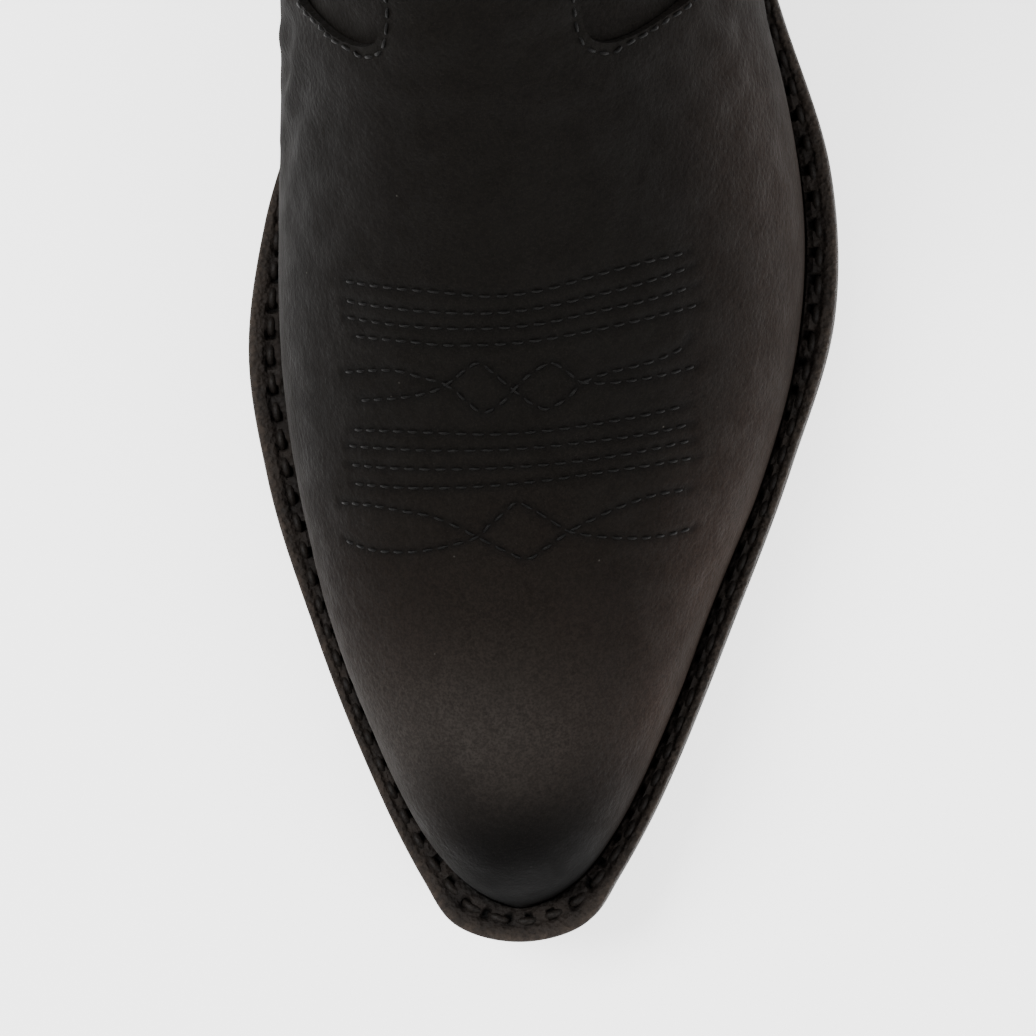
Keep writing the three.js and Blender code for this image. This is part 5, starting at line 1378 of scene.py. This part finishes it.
def build_teardrops():
    """Small overlays with a raised rim and a sunken middle."""
    place = np.linspace(-TEARDROP_LENGTH / 2, TEARDROP_LENGTH / 2, 50)
    across = np.linspace(-1, 1, 29)
    half = TEARDROP_TIP + TEARDROP_WIDTH / 2 * np.sin(math.pi * (place / TEARDROP_LENGTH + 0.5) ** 0.75)
    row = np.broadcast_to((SCALLOP_ROW + 20 + place)[:, None], (50, 29))
    arc = TONGUE_HALF + 20 + place[:, None] * TEARDROP_LEAN + across[None] * half[:, None]
    rim_gap = np.minimum((1 - np.abs(across))[None] * half[:, None],
                         (TEARDROP_LENGTH / 2 - np.abs(place))[:, None])
    rim = bell(rim_gap - 0.75, 0.6)
    hollow = smoothstep(rim_gap, 1.2, 2.2)
    thick = 0.5 + 0.75 * rim - 0.1 * hollow
    for side, name in ((-1, "medial"), (1, "lateral")):
        share = (side * arc + tongue_middle(row)) / arc_length(row, side)
        # the raised rim is painted lighter, as rubbed nap and as a painted highlight; the sunken middle gets
        # painted shade
        tables = [off_last(row, share, MIDDLE[0] + GAP + thick),
                  off_last(row, share, np.full(row.shape, MIDDLE[0] + 0.1)),
                  np.clip(0.9 * rim, 0, 1), 0.9 * rim, hollow * (1 - rim)]
        top, low, rub, painted_highlight, polish_and_shade = tables if side > 0 else [table[:, ::-1] for table in tables]
        solid, polygons, marks = sheet(top, low, marks={"rub": rub, "painted_highlight": painted_highlight, "polish_and_shade": polish_and_shade})
        mesh_object(f"teardrop_overlay_{name}", solid, polygons, NUBUCK, "trim_leather",
                    (f"teardrop_{name}",), marks)


def build_footbed():
    """The sock: a soft leather pad with a dished heel."""
    place = np.concatenate([[9.5], np.linspace(10.5, HEEL_MIDDLE - 0.3, 210)])
    across = np.linspace(-1, 1, 61)
    inset = 1.6 - INSIDE[1]
    level = FEATHER + LEATHER + GAP + INSOLE + GAP
    left, right = (point[:, :2] - outward[:, :2] * inset for point, outward in (
        wall(place, np.full(len(place), side), level + 1, "welt") for side in (-1, 1)))
    t = (across[None, :, None] + 1) / 2
    flat = left[:, None] * (1 - t) + right[:, None] * t
    ground = sole_height(flat[..., 1] + ORIGIN)
    rim = np.minimum(1 - np.abs(across)[None] ** 4, 1)
    dish = 0.5 * (1 - smoothstep(np.abs(across), 0.2, 0.95))[None] * smoothstep(place, 150, 220)[:, None]
    top = at_height(flat, ground + level + 2.0 + 0.45 * rim - dish)
    top[..., 2] += 0.05 * waves(top, 7, 51, 10)
    solid, polygons, _ = sheet(top, at_height(flat, ground + level))
    mesh_object("sock_pad", solid, polygons, LINER, "lining_leather", ("footbed",))


for build in (build_outsole, build_welt, build_rand, build_heel, build_piping, build_binding, build_straps,
              build_teardrops, build_footbed):
    build()


# ------------------------------------------------------------ floor, light and camera
def plane(name, size, height):
    mesh = bpy.data.meshes.new(name)
    corners = [(-size, -size, height), (size, -size, height), (size, size, height), (-size, size, height)]
    mesh.from_pydata(corners, [], [(0, 1, 2, 3)])
    floor = bpy.data.objects.new(name, mesh)
    bpy.context.scene.collection.objects.link(floor)
    return floor


floor = plane("floor", 6.0, -0.0004)
floor.data.materials.append(floor_material())


def area_light(name, place, target, size, power):
    data = bpy.data.lights.new(name, "AREA")
    data.shape, data.size, data.energy = "DISK", size, power
    light = bpy.data.objects.new(name, data)
    light.location = place
    light.rotation_euler = (Vector(target) - Vector(place)).to_track_quat("-Z", "Y").to_euler()
    bpy.context.scene.collection.objects.link(light)


area_light("key_light", (-0.85, 0.15, 1.5), (0, -0.12, 0.05), 0.9, 40)
area_light("fill_light", (1.0, -0.75, 1.1), (0, -0.12, 0.05), 1.0, 16)

world = bpy.data.worlds.new("studio")
world.use_nodes = True
world.node_tree.nodes["Background"].inputs["Color"].default_value = (1, 1, 1, 1)
world.node_tree.nodes["Background"].inputs["Strength"].default_value = 0.9
bpy.context.scene.world = world

CAMERA_PLACE = Vector((0.0895, -0.1801, 0.8065))
CAMERA_TURN = (-0.0061, 0.1118, -0.0179)
camera_data = bpy.data.cameras.new("camera")
camera_data.sensor_width, camera_data.lens = 36.0, 170.46
camera_data.clip_start, camera_data.clip_end = 0.01, 50
camera = bpy.data.objects.new("camera", camera_data)
camera.location = CAMERA_PLACE
camera.rotation_mode = "XYZ"
camera.rotation_euler = CAMERA_TURN
bpy.context.scene.collection.objects.link(camera)
bpy.context.scene.camera = camera

bpy.context.view_layer.update()
